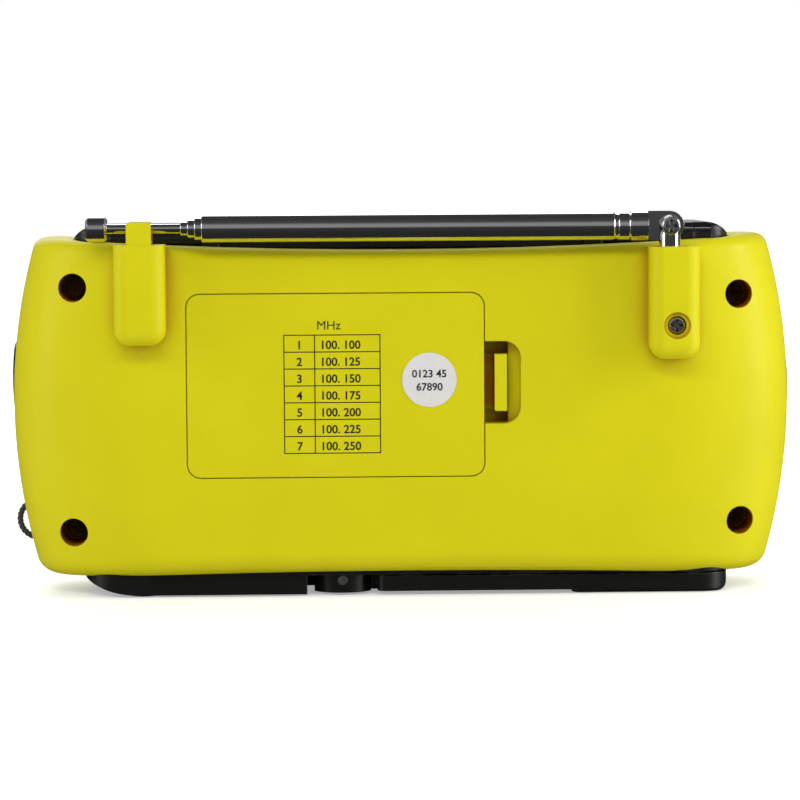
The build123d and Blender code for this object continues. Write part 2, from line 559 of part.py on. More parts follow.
with BuildPart() as antenna_tube:
    add(rod_x(ANT_Y, ANT_Z, SECTION_RADII[0], (TUBE_START_X, TUBE_END_X)))
    fillet(antenna_tube.edges().filter_by(GeomType.CIRCLE).sort_by(Axis.X)[-1], TUBE_ROLL)
    with BuildSketch(Plane.XY.offset(ANT_Z)):
        with Locations(*[(x, ANT_Y + SECTION_RADII[0] + CRIMP_RADIUS - CRIMP_DEPTH) for x in CRIMP_X]):
            Circle(CRIMP_RADIUS)
    revolve(axis=Axis((0, ANT_Y, ANT_Z), (1, 0, 0)), mode=Mode.SUBTRACT)
    add(rod_x(ANT_Y, ANT_Z, 3.95, (TUBE_START_X, TUBE_START_X + 4.6)))
    with BuildSketch(back_plane(ANT_Y - LAP_GAP)):
        with Locations(((PIVOT_X + TUBE_START_X) / 2, ANT_Z)):
            Rectangle(TUBE_START_X - PIVOT_X, 7.9)
        with Locations((PIVOT_X, ANT_Z)):
            Circle(3.95)
    extrude(amount=2.9)
    add(rod_x(ANT_Y, ANT_Z, SECTION_RADII[0] - SECTION_WALL, (TUBE_START_X + 3, TUBE_END_X + 1)), mode=Mode.SUBTRACT)
    add(rod_y(pivot_point, 1.5 + RUN_GAP, (20, 40)), mode=Mode.SUBTRACT)
antenna_tube.part.label = "antenna_tube"
export_step(antenna_tube.part, "parts/antenna_tube.step")

for number in (2, 3, 4):
    section_end = TUBE_END_X + SECTION_STEP * (number - 1)
    with BuildPart() as antenna_section:
        radius = SECTION_RADII[number - 1]
        add(rod_x(ANT_Y, ANT_Z, radius, (section_end - SECTION_LENGTH, section_end)))
        fillet(antenna_section.edges().filter_by(GeomType.CIRCLE).sort_by(Axis.X)[-1], TUBE_ROLL)
        add(rod_x(ANT_Y, ANT_Z, radius - SECTION_WALL, (section_end - SECTION_LENGTH - 1, section_end + 1)),
            mode=Mode.SUBTRACT)
    antenna_section.part.label = f"antenna_section_{number}"
    export_step(antenna_section.part, f"parts/antenna_section_{number}.step")

rod_start_x = TUBE_END_X + 3 * SECTION_STEP - SECTION_LENGTH
with BuildPart() as antenna_rod:
    add(rod_x(ANT_Y, ANT_Z, TIP_CAP_RADIUS, TIP_CAP_X))
    chamfer(antenna_rod.edges().filter_by(GeomType.CIRCLE), 0.6)
    add(rod_x(ANT_Y, ANT_Z, SECTION_RADII[4], (rod_start_x, TIP_CAP_X[0] + 1)))
antenna_rod.part.label = "antenna_rod"
export_step(antenna_rod.part, "parts/antenna_rod.step")

# ---------------------------------------------------------------- top deck and solar lid
HINGE_SPAN = (55.0, 80.0)
HINGE_RADIUS = 2.4
LUG_WIDTH = 4.6
hinge_ends = [HINGE_SPAN, (-HINGE_SPAN[1], -HINGE_SPAN[0])]

with BuildPart() as top_deck:
    add(tray((-DECK_HALF_WIDTH, DECK_HALF_WIDTH), DECK_Y, DECK_Z, DECK_CORNER))
    add(tray((-84, 84), (-17.5, 9.5), (DECK_Z[1] - 1.3, 100), 4.0), mode=Mode.SUBTRACT)
    for low_x, high_x in hinge_ends:
        add(block((low_x - 0.3, high_x + 0.3), (LID_HINGE_Y - 3.2, 20), (LID_HINGE_Z - 3.4, 100)),
            mode=Mode.SUBTRACT)
        for lug in ((low_x - 0.3 - LUG_WIDTH, low_x - 0.3), (high_x + 0.3, high_x + 0.3 + LUG_WIDTH)):
            add(rod_x(LID_HINGE_Y, LID_HINGE_Z, HINGE_RADIUS, lug))
            add(block(lug, (LID_HINGE_Y - 1.6, LID_HINGE_Y + HINGE_RADIUS), (DECK_Z[1] - 1, LID_HINGE_Z)))
        add(rod_x(LID_HINGE_Y, LID_HINGE_Z, 1.0 + RUN_GAP, (low_x - 6, high_x + 6)), mode=Mode.SUBTRACT)
top_deck.part.label = "top_deck"
export_step(top_deck.part, "parts/top_deck.step")

with BuildPart() as hinge_pins:
    for low_x, high_x in hinge_ends:
        add(rod_x(LID_HINGE_Y, LID_HINGE_Z, 1.0, (low_x - 4.5, high_x + 4.5)))
hinge_pins.part.label = "hinge_pins"
export_step(hinge_pins.part, "parts/hinge_pins.step")

CELL_X = 74.0
CELL_Y = (-17.5, 8.5)
UNDERSIDE_Z = (LID_Z[0], LID_Z[0] + 1.6)
LENS_X = 33.0
LENS_Y = (-11.0, 3.0)
with BuildPart() as solar_lid:
    add(tray((-DECK_HALF_WIDTH, DECK_HALF_WIDTH), LID_Y, LID_Z, DECK_CORNER))
    fillet(solar_lid.faces().sort_by(Axis.Z)[-1].edges(), 2.2)
    # The two ends drop away in an arc
    with BuildSketch(Plane.XZ.offset(30)):
        with BuildLine():
            end_z = LID_Z[1] - LID_END_DROP
            top_x = DECK_HALF_WIDTH - (2 * LID_END_RADIUS * LID_END_DROP - LID_END_DROP**2) ** 0.5
            crown = Line((-top_x, LID_Z[1]), (top_x, LID_Z[1]))
            right_end = RadiusArc(crown @ 1, (DECK_HALF_WIDTH, end_z), LID_END_RADIUS)
            left_end = RadiusArc((-DECK_HALF_WIDTH, end_z), crown @ 0, LID_END_RADIUS)
            Polyline(right_end @ 1, (DECK_HALF_WIDTH, 90), (-DECK_HALF_WIDTH, 90), left_end @ 0)
        make_face()
    extrude(amount=-60, mode=Mode.INTERSECT)
    add(tray((-DECK_HALF_WIDTH + 2, DECK_HALF_WIDTH - 2), (LID_Y[0] + 2, LID_Y[1] - 2), (90, LID_Z[1] - 3.0),
             DECK_CORNER - 2), mode=Mode.SUBTRACT)
    add(block((-CELL_X - 0.2, CELL_X + 0.2), (CELL_Y[0] - 0.2, CELL_Y[1] + 0.2), (LID_Z[1] - 1.6, 120)),
        mode=Mode.SUBTRACT)
    for low_x, high_x in hinge_ends:
        for lug in ((low_x - 0.6 - LUG_WIDTH, low_x), (high_x, high_x + 0.6 + LUG_WIDTH)):
            add(block(lug, (LID_HINGE_Y - 3.0, 30), (90, 120)), mode=Mode.SUBTRACT)
            add(block(lug, (LID_Y[1] - 3.6, LID_Y[1] - 1.6), (LID_Z[0], LID_Z[1] - 2.7)))
        add(rod_x(LID_HINGE_Y, LID_HINGE_Z, HINGE_RADIUS, (low_x, high_x)))
        add(block((low_x, high_x), (LID_Y[1] - 1.5, LID_HINGE_Y), (LID_HINGE_Z, LID_HINGE_Z + HINGE_RADIUS)))
        add(rod_x(LID_HINGE_Y, LID_HINGE_Z, 1.0 + RUN_GAP, (low_x - 6, high_x + 6)), mode=Mode.SUBTRACT)
solar_lid.part.label = "solar_lid"
export_step(solar_lid.part, "parts/solar_lid.step")

lens_opening = block((-LENS_X - 0.1, LENS_X + 0.1), (LENS_Y[0] - 0.1, LENS_Y[1] + 0.1), (90, 110))
with BuildPart() as lid_underside:
    add(tray((-DECK_HALF_WIDTH + 2.1, DECK_HALF_WIDTH - 2.1), (LID_Y[0] + 2.1, LID_Y[1] - 3.8), UNDERSIDE_Z,
             DECK_CORNER - 2))
    add(lens_opening, mode=Mode.SUBTRACT)
lid_underside.part.label = "lid_underside"
export_step(lid_underside.part, "parts/lid_underside.step")

lamp_lens = block((-LENS_X, LENS_X), LENS_Y, (UNDERSIDE_Z[0] + 0.1, UNDERSIDE_Z[0] + 1.1))
lamp_lens.label = "lamp_lens"
export_step(lamp_lens, "parts/lamp_lens.step")

with BuildPart() as lamp_leds:
    for step in range(-2, 3):
        add(rod_z(step * 12.0, -4.0, 2.3, (UNDERSIDE_Z[0] + 1.3, LID_Z[1] - 3.1)))
lamp_leds.part.label = "lamp_leds"
export_step(lamp_leds.part, "parts/lamp_leds.step")

solar_cell = block((-CELL_X, CELL_X), CELL_Y, (LID_Z[1] - 1.55, LID_Z[1]))
solar_cell.label = "solar_cell"
export_step(solar_cell, "parts/solar_cell.step")

# ---------------------------------------------------------------- base and crank
channel = block((-120, CRANK_X + 9.8), (-0.6, 60), (-5, CHANNEL_TOP_Z))
foot_points = [(72.0, -12.0), (72.0, 12.0), (38.0, -12.0), (-20.0, -12.0), (-78.0, -12.0)]
FOOT_RADIUS = 4.0
BOW_LENGTH = 15.0
BOW_RISE = 4.5
BOW_RADIUS = (BOW_LENGTH**2 + BOW_RISE**2) / (2 * BOW_RISE)
HEEL_RADIUS = 3.0
with BuildPart() as base_skirt:
    with BuildSketch(Plane.XZ.offset(-BASE_Y[1])):
        with BuildLine():
            high = Line((BASE_X[0], BASE_TOP_Z), (BASE_X[1], BASE_TOP_Z))
            right = Line(high @ 1, (BASE_X[1], BASE_LOW_Z + BOW_RISE))
            bow = RadiusArc(right @ 1, (BASE_X[1] - BOW_LENGTH, BASE_LOW_Z), BOW_RADIUS)
            low = Line(bow @ 1, (BASE_X[0] + HEEL_RADIUS, BASE_LOW_Z))
            heel = RadiusArc(low @ 1, (BASE_X[0], BASE_LOW_Z + HEEL_RADIUS), HEEL_RADIUS)
            Line(heel @ 1, high @ 0)
        make_face()
    extrude(amount=BASE_Y[1] - BASE_Y[0])
    add(tray(BASE_X, BASE_Y, (-5, 20), BASE_CORNER), mode=Mode.INTERSECT)
    add(channel, mode=Mode.SUBTRACT)
    add(rod_z(CRANK_X, CRANK_Y, HUB_RADIUS + 0.6, (-5, 20)), mode=Mode.SUBTRACT)
    with BuildSketch(Plane.XY):
        with Locations(*foot_points):
            Circle(FOOT_RADIUS + 0.1)
    extrude(amount=BASE_LOW_Z + 1.0, mode=Mode.SUBTRACT)
base_skirt.part.label = "base_skirt"
export_step(base_skirt.part, "parts/base_skirt.step")

with BuildPart() as rubber_feet:
    with BuildSketch():
        with Locations(*foot_points):
            Circle(FOOT_RADIUS)
    extrude(amount=BASE_LOW_Z + 0.95)
rubber_feet.part.label = "rubber_feet"
export_step(rubber_feet.part, "parts/rubber_feet.step")

SLOT_HALF_WIDTH = 4.0
with BuildPart() as crank_hub:
    add(rod_z(CRANK_X, CRANK_Y, HUB_RADIUS, HUB_Z))
    add(block((CRANK_X - 20, CRANK_X + 20), (CRANK_Y - SLOT_HALF_WIDTH, CRANK_Y + SLOT_HALF_WIDTH), (-5, 7.6)),
        mode=Mode.SUBTRACT)
    add(rod_z(CRANK_X, CRANK_Y, 2.0, (HUB_Z[1], PLATE_Z[1])))
    add(rod_y([(CRANK_X, FOLD_PIN_Z)], 1.25 + RUN_GAP, (-10, 30)), mode=Mode.SUBTRACT)
crank_hub.part.label = "crank_hub"
export_step(crank_hub.part, "parts/crank_hub.step")

fold_pin = rod_y([(CRANK_X, FOLD_PIN_Z)], 1.25, (CRANK_Y - HUB_RADIUS + 0.3, CRANK_Y + HUB_RADIUS - 0.05))
fold_pin.label = "fold_pin"
export_step(fold_pin, "parts/fold_pin.step")

TONGUE_RADIUS = 3.0
ROOT_X = CRANK_X - 9.6
with BuildPart() as crank_arm:
    for start_x, low_z, high_z in ((ROOT_X, ARM_Z[0], ARM_Z[1]), (PAD_START_X, PAD_LOW_Z, ARM_Z[0])):
        with BuildSketch(Plane.XY.offset(low_z)) as outline:
            with Locations(((ARM_END_X + start_x) / 2, CRANK_Y + 0.2)):
                Rectangle(start_x - ARM_END_X, 2 * ARM_HALF_WIDTH)
            fillet(outline.vertices().group_by(Axis.X)[0], ARM_CORNER)
            fillet(outline.vertices().group_by(Axis.X)[-1], 2.4)
        extrude(amount=high_z - low_z)
    fillet(crank_arm.faces().sort_by(Axis.Z)[0].edges(), 0.8)
    # The free end curls up like the heel of the base
    with BuildSketch(back_plane(CRANK_Y + 12)):
        with BuildLine():
            heel = RadiusArc((ARM_END_X + HEEL_RADIUS, PAD_LOW_Z), (ARM_END_X, PAD_LOW_Z + HEEL_RADIUS), HEEL_RADIUS)
            Polyline(heel @ 1, (ARM_END_X - 1, PAD_LOW_Z + HEEL_RADIUS), (ARM_END_X - 1, PAD_LOW_Z - 1),
                     (ARM_END_X + HEEL_RADIUS, PAD_LOW_Z - 1), heel @ 0)
        make_face()
    extrude(amount=24, mode=Mode.SUBTRACT)
    add(block((ROOT_X - 1, CRANK_X), (CRANK_Y - 3.8, CRANK_Y + 3.8), (ARM_Z[0], ARM_Z[1])))
    add(rod_y([(CRANK_X, FOLD_PIN_Z)], TONGUE_RADIUS, (CRANK_Y - 3.8, CRANK_Y + 3.8)))
    add(rod_y([(CRANK_X, FOLD_PIN_Z)], 1.25 + RUN_GAP, (-10, 30)), mode=Mode.SUBTRACT)
    add(rod_z(KNOB_X, CRANK_Y, KNOB_RADIUS + 0.1, (-5, 20)), mode=Mode.SUBTRACT)
    add(rod_z(KNOB_X, CRANK_Y, KNOB_RADIUS + 1.1, (2.4, 3.8)), mode=Mode.SUBTRACT)
crank_arm.part.label = "crank_arm"
export_step(crank_arm.part, "parts/crank_arm.step")

with BuildPart() as crank_knob:
    add(rod_z(KNOB_X, CRANK_Y, KNOB_RADIUS, (PAD_LOW_Z + 0.1, ARM_Z[1] - 0.1)))
    add(rod_z(KNOB_X, CRANK_Y, KNOB_RADIUS + 1.0, (2.5, 3.7)))
    for dimple_z in (PAD_LOW_Z - 8.5, ARM_Z[1] + 8.5):
        with Locations((KNOB_X + 1.4, CRANK_Y, dimple_z)):
            Sphere(9.8, mode=Mode.SUBTRACT)
crank_knob.part.label = "crank_knob"
export_step(crank_knob.part, "parts/crank_knob.step")

# ---------------------------------------------------------------- gear train and dynamo
INVOLUTE_STEPS = 4
BACKLASH = 0.14


def involute(angle):
    """Involute function of a pressure angle."""
    return tan(angle) - angle


def gear(x, y, teeth, module, z, phase=0.0):
    """Spur gear with involute flanks. A tooth points along +X when phase is zero."""
    pitch_radius = module * teeth / 2
    base_radius = pitch_radius * cos(PRESSURE_ANGLE)
    tip_radius = pitch_radius + 0.85 * module
    root_radius = pitch_radius - 1.2 * module
    start = max(base_radius, root_radius + 0.02)
    radii = [start + (tip_radius - start) * step / INVOLUTE_STEPS for step in range(INVOLUTE_STEPS + 1)]
    half_tooth = pi / (2 * teeth) - BACKLASH / (2 * pitch_radius) + involute(PRESSURE_ANGLE)
    flank = [(radius, half_tooth - involute(acos(base_radius / radius))) for radius in radii]
    flank = [(root_radius, flank[0][1])] + flank
    outline = []
    for tooth in range(teeth):
        middle = phase + 2 * pi * tooth / teeth
        outline += [(r * cos(middle - a), r * sin(middle - a)) for r, a in flank]
        outline += [(r * cos(middle + a), r * sin(middle + a)) for r, a in reversed(flank)]
    with BuildPart() as wheel:
        with BuildSketch(Plane((x, y, z[0]))):
            with BuildLine():
                Polyline(*outline, close=True)
            make_face()
        extrude(amount=z[1] - z[0])
    return wheel.part


HALF_PINION_PITCH = pi / PINION_TEETH
with BuildPart() as crank_gear:
    add(gear(CRANK_X, CRANK_Y, CRANK_TEETH, CRANK_MODULE, (GEAR_FLOOR_Z, GEAR_FLOOR_Z + 3.0)))
    add(rod_z(CRANK_X, CRANK_Y, 3.6, (GEAR_FLOOR_Z + 3.0, PLATE_Z[0] - 0.4)))
    add(rod_z(CRANK_X, CRANK_Y, 2.0, (0, 50)), mode=Mode.SUBTRACT)
crank_gear.part.label = "crank_gear"
export_step(crank_gear.part, "parts/crank_gear.step")

with BuildPart() as middle_gear:
    add(gear(MIDDLE_X, CRANK_Y, PINION_TEETH, CRANK_MODULE, (GEAR_FLOOR_Z, GEAR_FLOOR_Z + 4.0), HALF_PINION_PITCH))
    add(gear(MIDDLE_X, CRANK_Y, MIDDLE_TEETH, ROTOR_MODULE, (GEAR_FLOOR_Z + 4.0, GEAR_FLOOR_Z + 6.0)))
    add(rod_z(MIDDLE_X, CRANK_Y, 1.0 + RUN_GAP, (0, 50)), mode=Mode.SUBTRACT)
middle_gear.part.label = "middle_gear"
export_step(middle_gear.part, "parts/middle_gear.step")

with BuildPart() as dynamo_rotor:
    add(gear(ROTOR_X, CRANK_Y, PINION_TEETH, ROTOR_MODULE, (GEAR_FLOOR_Z + 3.7, GEAR_FLOOR_Z + 6.4), HALF_PINION_PITCH))
    add(rod_z(ROTOR_X, CRANK_Y, 1.0, (GEAR_FLOOR_Z + 6.4, 33.0)))
    add(rod_z(ROTOR_X, CRANK_Y, 8.0, (PLATE_Z[1] + 1.6, 31.6)))
dynamo_rotor.part.label = "dynamo_rotor"
export_step(dynamo_rotor.part, "parts/dynamo_rotor.step")

with BuildPart() as dynamo_can:
    add(rod_z(ROTOR_X, CRANK_Y, DYNAMO_RADIUS, (PLATE_Z[1] + 0.05, 34.0)))
    add(rod_z(ROTOR_X, CRANK_Y, 8.6, (PLATE_Z[1] + 1.2, 32.2)), mode=Mode.SUBTRACT)
    add(rod_z(ROTOR_X, CRANK_Y, 1.0 + RUN_GAP, (0, 50)), mode=Mode.SUBTRACT)
dynamo_can.part.label = "dynamo_can"
export_step(dynamo_can.part, "parts/dynamo_can.step")

PLATE_X = (-22.0, 33.0)
PLATE_Y = (-1.6, 19.4)
post_points = [(x, y) for x in (PLATE_X[0] + 3, PLATE_X[1] - 3) for y in (PLATE_Y[0] + 3, PLATE_Y[1] - 3)]
with BuildPart() as gear_plate:
    add(block(PLATE_X, PLATE_Y, PLATE_Z))
    for post_x, post_y in post_points:
        add(rod_z(post_x, post_y, 2.2, (CAVITY_LOW_Z + 0.05, PLATE_Z[0])))
    add(rod_z(MIDDLE_X, CRANK_Y, 1.0, (CAVITY_LOW_Z + 0.05, PLATE_Z[0])))
    add(rod_z(CRANK_X, CRANK_Y, 2.0 + RUN_GAP, (20, 50)), mode=Mode.SUBTRACT)
    add(rod_z(ROTOR_X, CRANK_Y, 1.0 + RUN_GAP, (0, 50)), mode=Mode.SUBTRACT)
gear_plate.part.label = "gear_plate"
export_step(gear_plate.part, "parts/gear_plate.step")

# ---------------------------------------------------------------- speaker, dial and front controls
speaker_point = [(SPEAKER_X, SPEAKER_Z)]
with BuildPart() as speaker_grille:
    with BuildSketch(back_plane(CASE_FRONT_Y + 1.15)):
        with Locations(*speaker_point):
            Circle(GRILLE_RADIUS)
            Circle(2.2, mode=Mode.SUBTRACT)
            for ring in range(1, 6):
                with PolarLocations(ring * 4.7, 6 * ring, start_angle=ring * 7.0):
                    Circle(1.5, mode=Mode.SUBTRACT)
    extrude(amount=2.0)
speaker_grille.part.label = "speaker_grille"
export_step(speaker_grille.part, "parts/speaker_grille.step")

with BuildPart() as speaker_frame:
    add(rod_y(speaker_point, SPEAKER_RADIUS, (SPEAKER_MOUNT_Y, SPEAKER_MOUNT_Y + 1.5)))
    with BuildSketch(Plane.XY.offset(SPEAKER_Z)):
        with BuildLine():
            Polyline((SPEAKER_X, -8.0), (SPEAKER_X + 12.0, -8.0), (SPEAKER_X + 25.6, SPEAKER_MOUNT_Y + 1.0),
                     (SPEAKER_X, SPEAKER_MOUNT_Y + 1.0), close=True)
        make_face()
    revolve(axis=Axis((SPEAKER_X, 0, SPEAKER_Z), (0, 1, 0)))
    with BuildSketch(Plane.XY.offset(SPEAKER_Z)):
        with BuildLine():
            Polyline((SPEAKER_X, -9.2), (SPEAKER_X + 11.0, -9.2), (SPEAKER_X + 24.8, SPEAKER_MOUNT_Y - 1.0),
                     (SPEAKER_X, SPEAKER_MOUNT_Y - 1.0), close=True)
        make_face()
    revolve(axis=Axis((SPEAKER_X, 0, SPEAKER_Z), (0, 1, 0)), mode=Mode.SUBTRACT)
    add(rod_y(speaker_point, 16.0, (-8.0, 0.0)))
speaker_frame.part.label = "speaker_frame"
export_step(speaker_frame.part, "parts/speaker_frame.step")

with BuildPart() as speaker_cone:
    with BuildSketch(Plane.XY.offset(SPEAKER_Z)):
        with BuildLine():
            Polyline((SPEAKER_X, -15.0), (SPEAKER_X + 8.0, -13.0), (SPEAKER_X + 22.0, -23.6), (SPEAKER_X + 22.0, -23.0),
                     (SPEAKER_X + 8.0, -12.2), (SPEAKER_X, -14.2), close=True)
        make_face()
    revolve(axis=Axis((SPEAKER_X, 0, SPEAKER_Z), (0, 1, 0)))
speaker_cone.part.label = "speaker_cone"
export_step(speaker_cone.part, "parts/speaker_cone.step")

dial_window = panel(dial_x, dial_z, (CASE_FRONT_Y - 0.3, CASE_FRONT_Y + 1.15), 3.0)
dial_window.label = "dial_window"
export_step(dial_window, "parts/dial_window.step")

SCALE_Y = (-21.4, -20.6)
dial_scale = panel((dial_x[0] + 1, dial_x[1] - 1), (dial_z[0], dial_z[1]), SCALE_Y, 1.0)
dial_scale.label = "dial_scale"
export_step(dial_scale, "parts/dial_scale.step")

POINTER_START_X = DIAL_X - 22.1
with BuildPart() as dial_pointer:
    add(block((POINTER_START_X - 0.6, POINTER_START_X + 0.6), (-23.4, -22.4), (dial_z[0] + 2.5, dial_z[1] + 1.2)))
    add(block((POINTER_START_X - 3, POINTER_START_X + 3), (-23.4, -19.8), (dial_z[1] + 0.3, dial_z[1] + 1.5)))
dial_pointer.part.label = "dial_pointer"
export_step(dial_pointer.part, "parts/dial_pointer.step")

with BuildPart() as main_board:
    add(block((-18.0, 68.0), BOARD_Y, (28.0, 88.0)))
    add(block((68.0, 84.0), BOARD_Y, (28.0, 43.5)))
main_board.part.label = "main_board"
export_step(main_board.part, "parts/main_board.step")

with BuildPart() as board_switches:
    for switch_x, switch_z in switch_points:
        add(block((switch_x - 8, switch_x + 8), (-16.0, BOARD_Y[0] - 0.05), (switch_z - 3.2, switch_z + 3.2)))
        add(block((switch_x - 7, switch_x + 7), (-20.0, -12.0), (switch_z - 1.4, switch_z + 1.4)), mode=Mode.SUBTRACT)
    add(rod_y(button_points, 3.4, (-17.0, BOARD_Y[0] - 0.05)))
board_switches.part.label = "board_switches"
export_step(board_switches.part, "parts/board_switches.step")


def slide_knob(x, z):
    """Ribbed thumb piece of a slide switch, at the low end of its travel."""
    with BuildPart() as thumb:
        add(block((x - 2.4, x + 2.4), (CASE_FRONT_Y - 1.8, FRONT_INNER_Y + 0.4), (z - 2.1, z + 2.1)))
        add(block((x - 4.5, x + 4.5), (FRONT_INNER_Y + 0.3, FRONT_INNER_Y + 1.4), (z - 4.0, z + 4.0)))
        add(block((x - 1.2, x + 1.2), (FRONT_INNER_Y + 1.4, -12.5), (z - 1.2, z + 1.2)))
        for step in (-1, 0, 1):
            add(block((x + step * 1.3 - 0.3, x + step * 1.3 + 0.3), (CASE_FRONT_Y - 2.5, CASE_FRONT_Y - 1.3),
                      (z - 3, z + 3)), mode=Mode.SUBTRACT)
    return thumb.part


SWITCH_TRAVEL = 8.0
band_slider = slide_knob(BAND_SWITCH_X - SWITCH_TRAVEL / 2, CONTROL_Z)
band_slider.label = "band_slider"
export_step(band_slider, "parts/band_slider.step")

light_slider = slide_knob(LIGHT_SWITCH_X - SWITCH_TRAVEL / 2, CONTROL_Z)
light_slider.label = "light_slider"
export_step(light_slider, "parts/light_slider.step")


def push_button(x, z):
    """Domed button with a retaining flange behind the wall and a stem to its switch."""
    with BuildPart() as button:
        add(rod_y([(x, z)], 4.0, (CASE_FRONT_Y - 1.6, FRONT_INNER_Y + 0.3)))
        fillet(button.edges().sort_by(Axis.Y)[0], 0.9)
        add(rod_y([(x, z)], 5.4, (FRONT_INNER_Y + 0.2, FRONT_INNER_Y + 1.2)))
        add(rod_y([(x, z)], 1.5, (FRONT_INNER_Y + 1.2, -18.3)))
    return button.part


lamp_button = push_button(*button_points[0])
lamp_button.label = "lamp_button"
export_step(lamp_button, "parts/lamp_button.step")

scan_button = push_button(*button_points[1])
scan_button.label = "scan_button"
export_step(scan_button, "parts/scan_button.step")

with BuildPart() as indicator_leds:
    add(rod_y(led_points, 1.5, (CASE_FRONT_Y - 0.3, -18.0)))
    add(rod_y(led_points, 0.5, (-18.0, BOARD_Y[0] - 0.05)))
indicator_leds.part.label = "indicator_leds"
export_step(indicator_leds.part, "parts/indicator_leds.step")

SOCKET_BORE_RADIUS = 1.8
with BuildPart() as sockets:
    for socket_x, socket_z in socket_points:
        add(block((socket_x - 4, socket_x + 4), (FRONT_INNER_Y + 0.1, -10.0), (socket_z - 4, socket_z + 4)))
    add(rod_y(socket_points, 2.9, (CASE_FRONT_Y, FRONT_INNER_Y + 0.1)))
    add(rod_y([socket_points[0]], SOCKET_BORE_RADIUS, (-50, -12.0)), mode=Mode.SUBTRACT)
    add(rod_y([socket_points[1]], 2.4, (-50, -12.0)), mode=Mode.SUBTRACT)
    add(rod_y([socket_points[1]], 0.6, (-24.0, -12.0)))
sockets.part.label = "sockets"
export_step(sockets.part, "parts/sockets.step")

volume_point = [(VOLUME_X, CONTROL_Z)]
with BuildPart() as volume_control:
    add(rod_y(volume_point, 6.0, (-15.0, BOARD_Y[0] - 0.05)))
    add(rod_y(volume_point, 2.0 + RUN_GAP, (-30, -9.0)), mode=Mode.SUBTRACT)
volume_control.part.label = "volume_control"
export_step(volume_control.part, "parts/volume_control.step")

with BuildPart() as volume_knob:
    add(rod_y(volume_point, 8.6, (-BOSS_FACE_Y, CASE_FRONT_Y - 0.3)))
    fillet(volume_knob.edges().sort_by(Axis.Y)[0], 1.2)
    with BuildSketch(back_plane(CASE_FRONT_Y - 0.3)):
        with Locations(*volume_point):
            with PolarLocations(9.0, 20):
                Circle(0.8)
    extrude(amount=4.2, mode=Mode.SUBTRACT)
    add(rod_y([(VOLUME_X, CONTROL_Z + 5.6)], 0.8, (-BOSS_FACE_Y - 1, -BOSS_FACE_Y + 0.7)), mode=Mode.SUBTRACT)
    add(rod_y(volume_point, 2.0, (CASE_FRONT_Y - 0.4, -9.5)))
volume_knob.part.label = "volume_knob"
export_step(volume_knob.part, "parts/volume_knob.step")

with BuildPart() as ferrite_rod:
    add(rod_x(11.0, 86.0, 3.4, (-30.0, 40.0)))
    add(rod_x(11.0, 86.0, 4.0, (-6.0, 14.0)))
ferrite_rod.part.label = "ferrite_rod"
export_step(ferrite_rod.part, "parts/ferrite_rod.step")

# ---------------------------------------------------------------- side controls
KNOB_FACE_X = 108.7
KNOB_BACK_X = 100.5
DRUM_RADIUS = 10.4
DRUM_X = (91.0, 95.5)
with BuildPart() as tuning_knob:
    add(rod_x(SIDE_CONTROL_Y, TUNING_Z, TUNING_RADIUS, (KNOB_BACK_X, KNOB_FACE_X)))
    fillet(tuning_knob.edges().sort_by(Axis.X)[-1], 1.2)
    with BuildSketch(Plane.YZ.offset(KNOB_BACK_X)):
        with Locations((SIDE_CONTROL_Y, TUNING_Z)):
            with PolarLocations(TUNING_RADIUS + 0.3, 30):
                Circle(0.6)
    extrude(amount=KNOB_FACE_X - KNOB_BACK_X - 1.0, mode=Mode.SUBTRACT)
    add(rod_x(SIDE_CONTROL_Y, TUNING_Z + 6.2, 2.4, (KNOB_FACE_X - 0.9, KNOB_FACE_X + 1)), mode=Mode.SUBTRACT)
    add(rod_x(SIDE_CONTROL_Y, TUNING_Z, 3.0, (90.0, KNOB_BACK_X)))
tuning_knob.part.label = "tuning_knob"
export_step(tuning_knob.part, "parts/tuning_knob.step")

with BuildPart() as tuning_drum:
    add(rod_x(SIDE_CONTROL_Y, TUNING_Z, DRUM_RADIUS, DRUM_X))
    with BuildSketch(Plane.XY.offset(TUNING_Z)):
        with Locations(((DRUM_X[0] + DRUM_X[1]) / 2, SIDE_CONTROL_Y + DRUM_RADIUS)):
            Rectangle(2.4, 2.0)
    revolve(axis=Axis((0, SIDE_CONTROL_Y, TUNING_Z), (1, 0, 0)), mode=Mode.SUBTRACT)
    add(rod_x(SIDE_CONTROL_Y, TUNING_Z, 3.0, (80, 100)), mode=Mode.SUBTRACT)
tuning_drum.part.label = "tuning_drum"
export_step(tuning_drum.part, "parts/tuning_drum.step")

with BuildPart() as tuning_capacitor:
    add(block((72.0, 88.0), (-20.0, -5.0), (TUNING_Z - 7.5, TUNING_Z + 6.8)))
    add(rod_x(SIDE_CONTROL_Y, TUNING_Z, 5.0, (88.0, 89.5)))
tuning_capacitor.part.label = "tuning_capacitor"
export_step(tuning_capacitor.part, "parts/tuning_capacitor.step")

TORCH_FACE_X = -KNOB_FACE_X
TORCH_MOUTH_RADIUS = 9.4
LENS_RADIUS = 10.2
with BuildPart() as torch_bezel:
    add(rod_x(SIDE_CONTROL_Y, TORCH_Z, TORCH_RADIUS, (TORCH_FACE_X, -98.5)))
    fillet(torch_bezel.edges().sort_by(Axis.X)[0], 1.0)
    add(rod_x(SIDE_CONTROL_Y, TORCH_Z, LENS_RADIUS + RUN_GAP, (TORCH_FACE_X - 1, TORCH_FACE_X + 2.4)), mode=Mode.SUBTRACT)
    add(rod_x(SIDE_CONTROL_Y, TORCH_Z, TORCH_MOUTH_RADIUS, (TORCH_FACE_X, -90)), mode=Mode.SUBTRACT)
torch_bezel.part.label = "torch_bezel"
export_step(torch_bezel.part, "parts/torch_bezel.step")

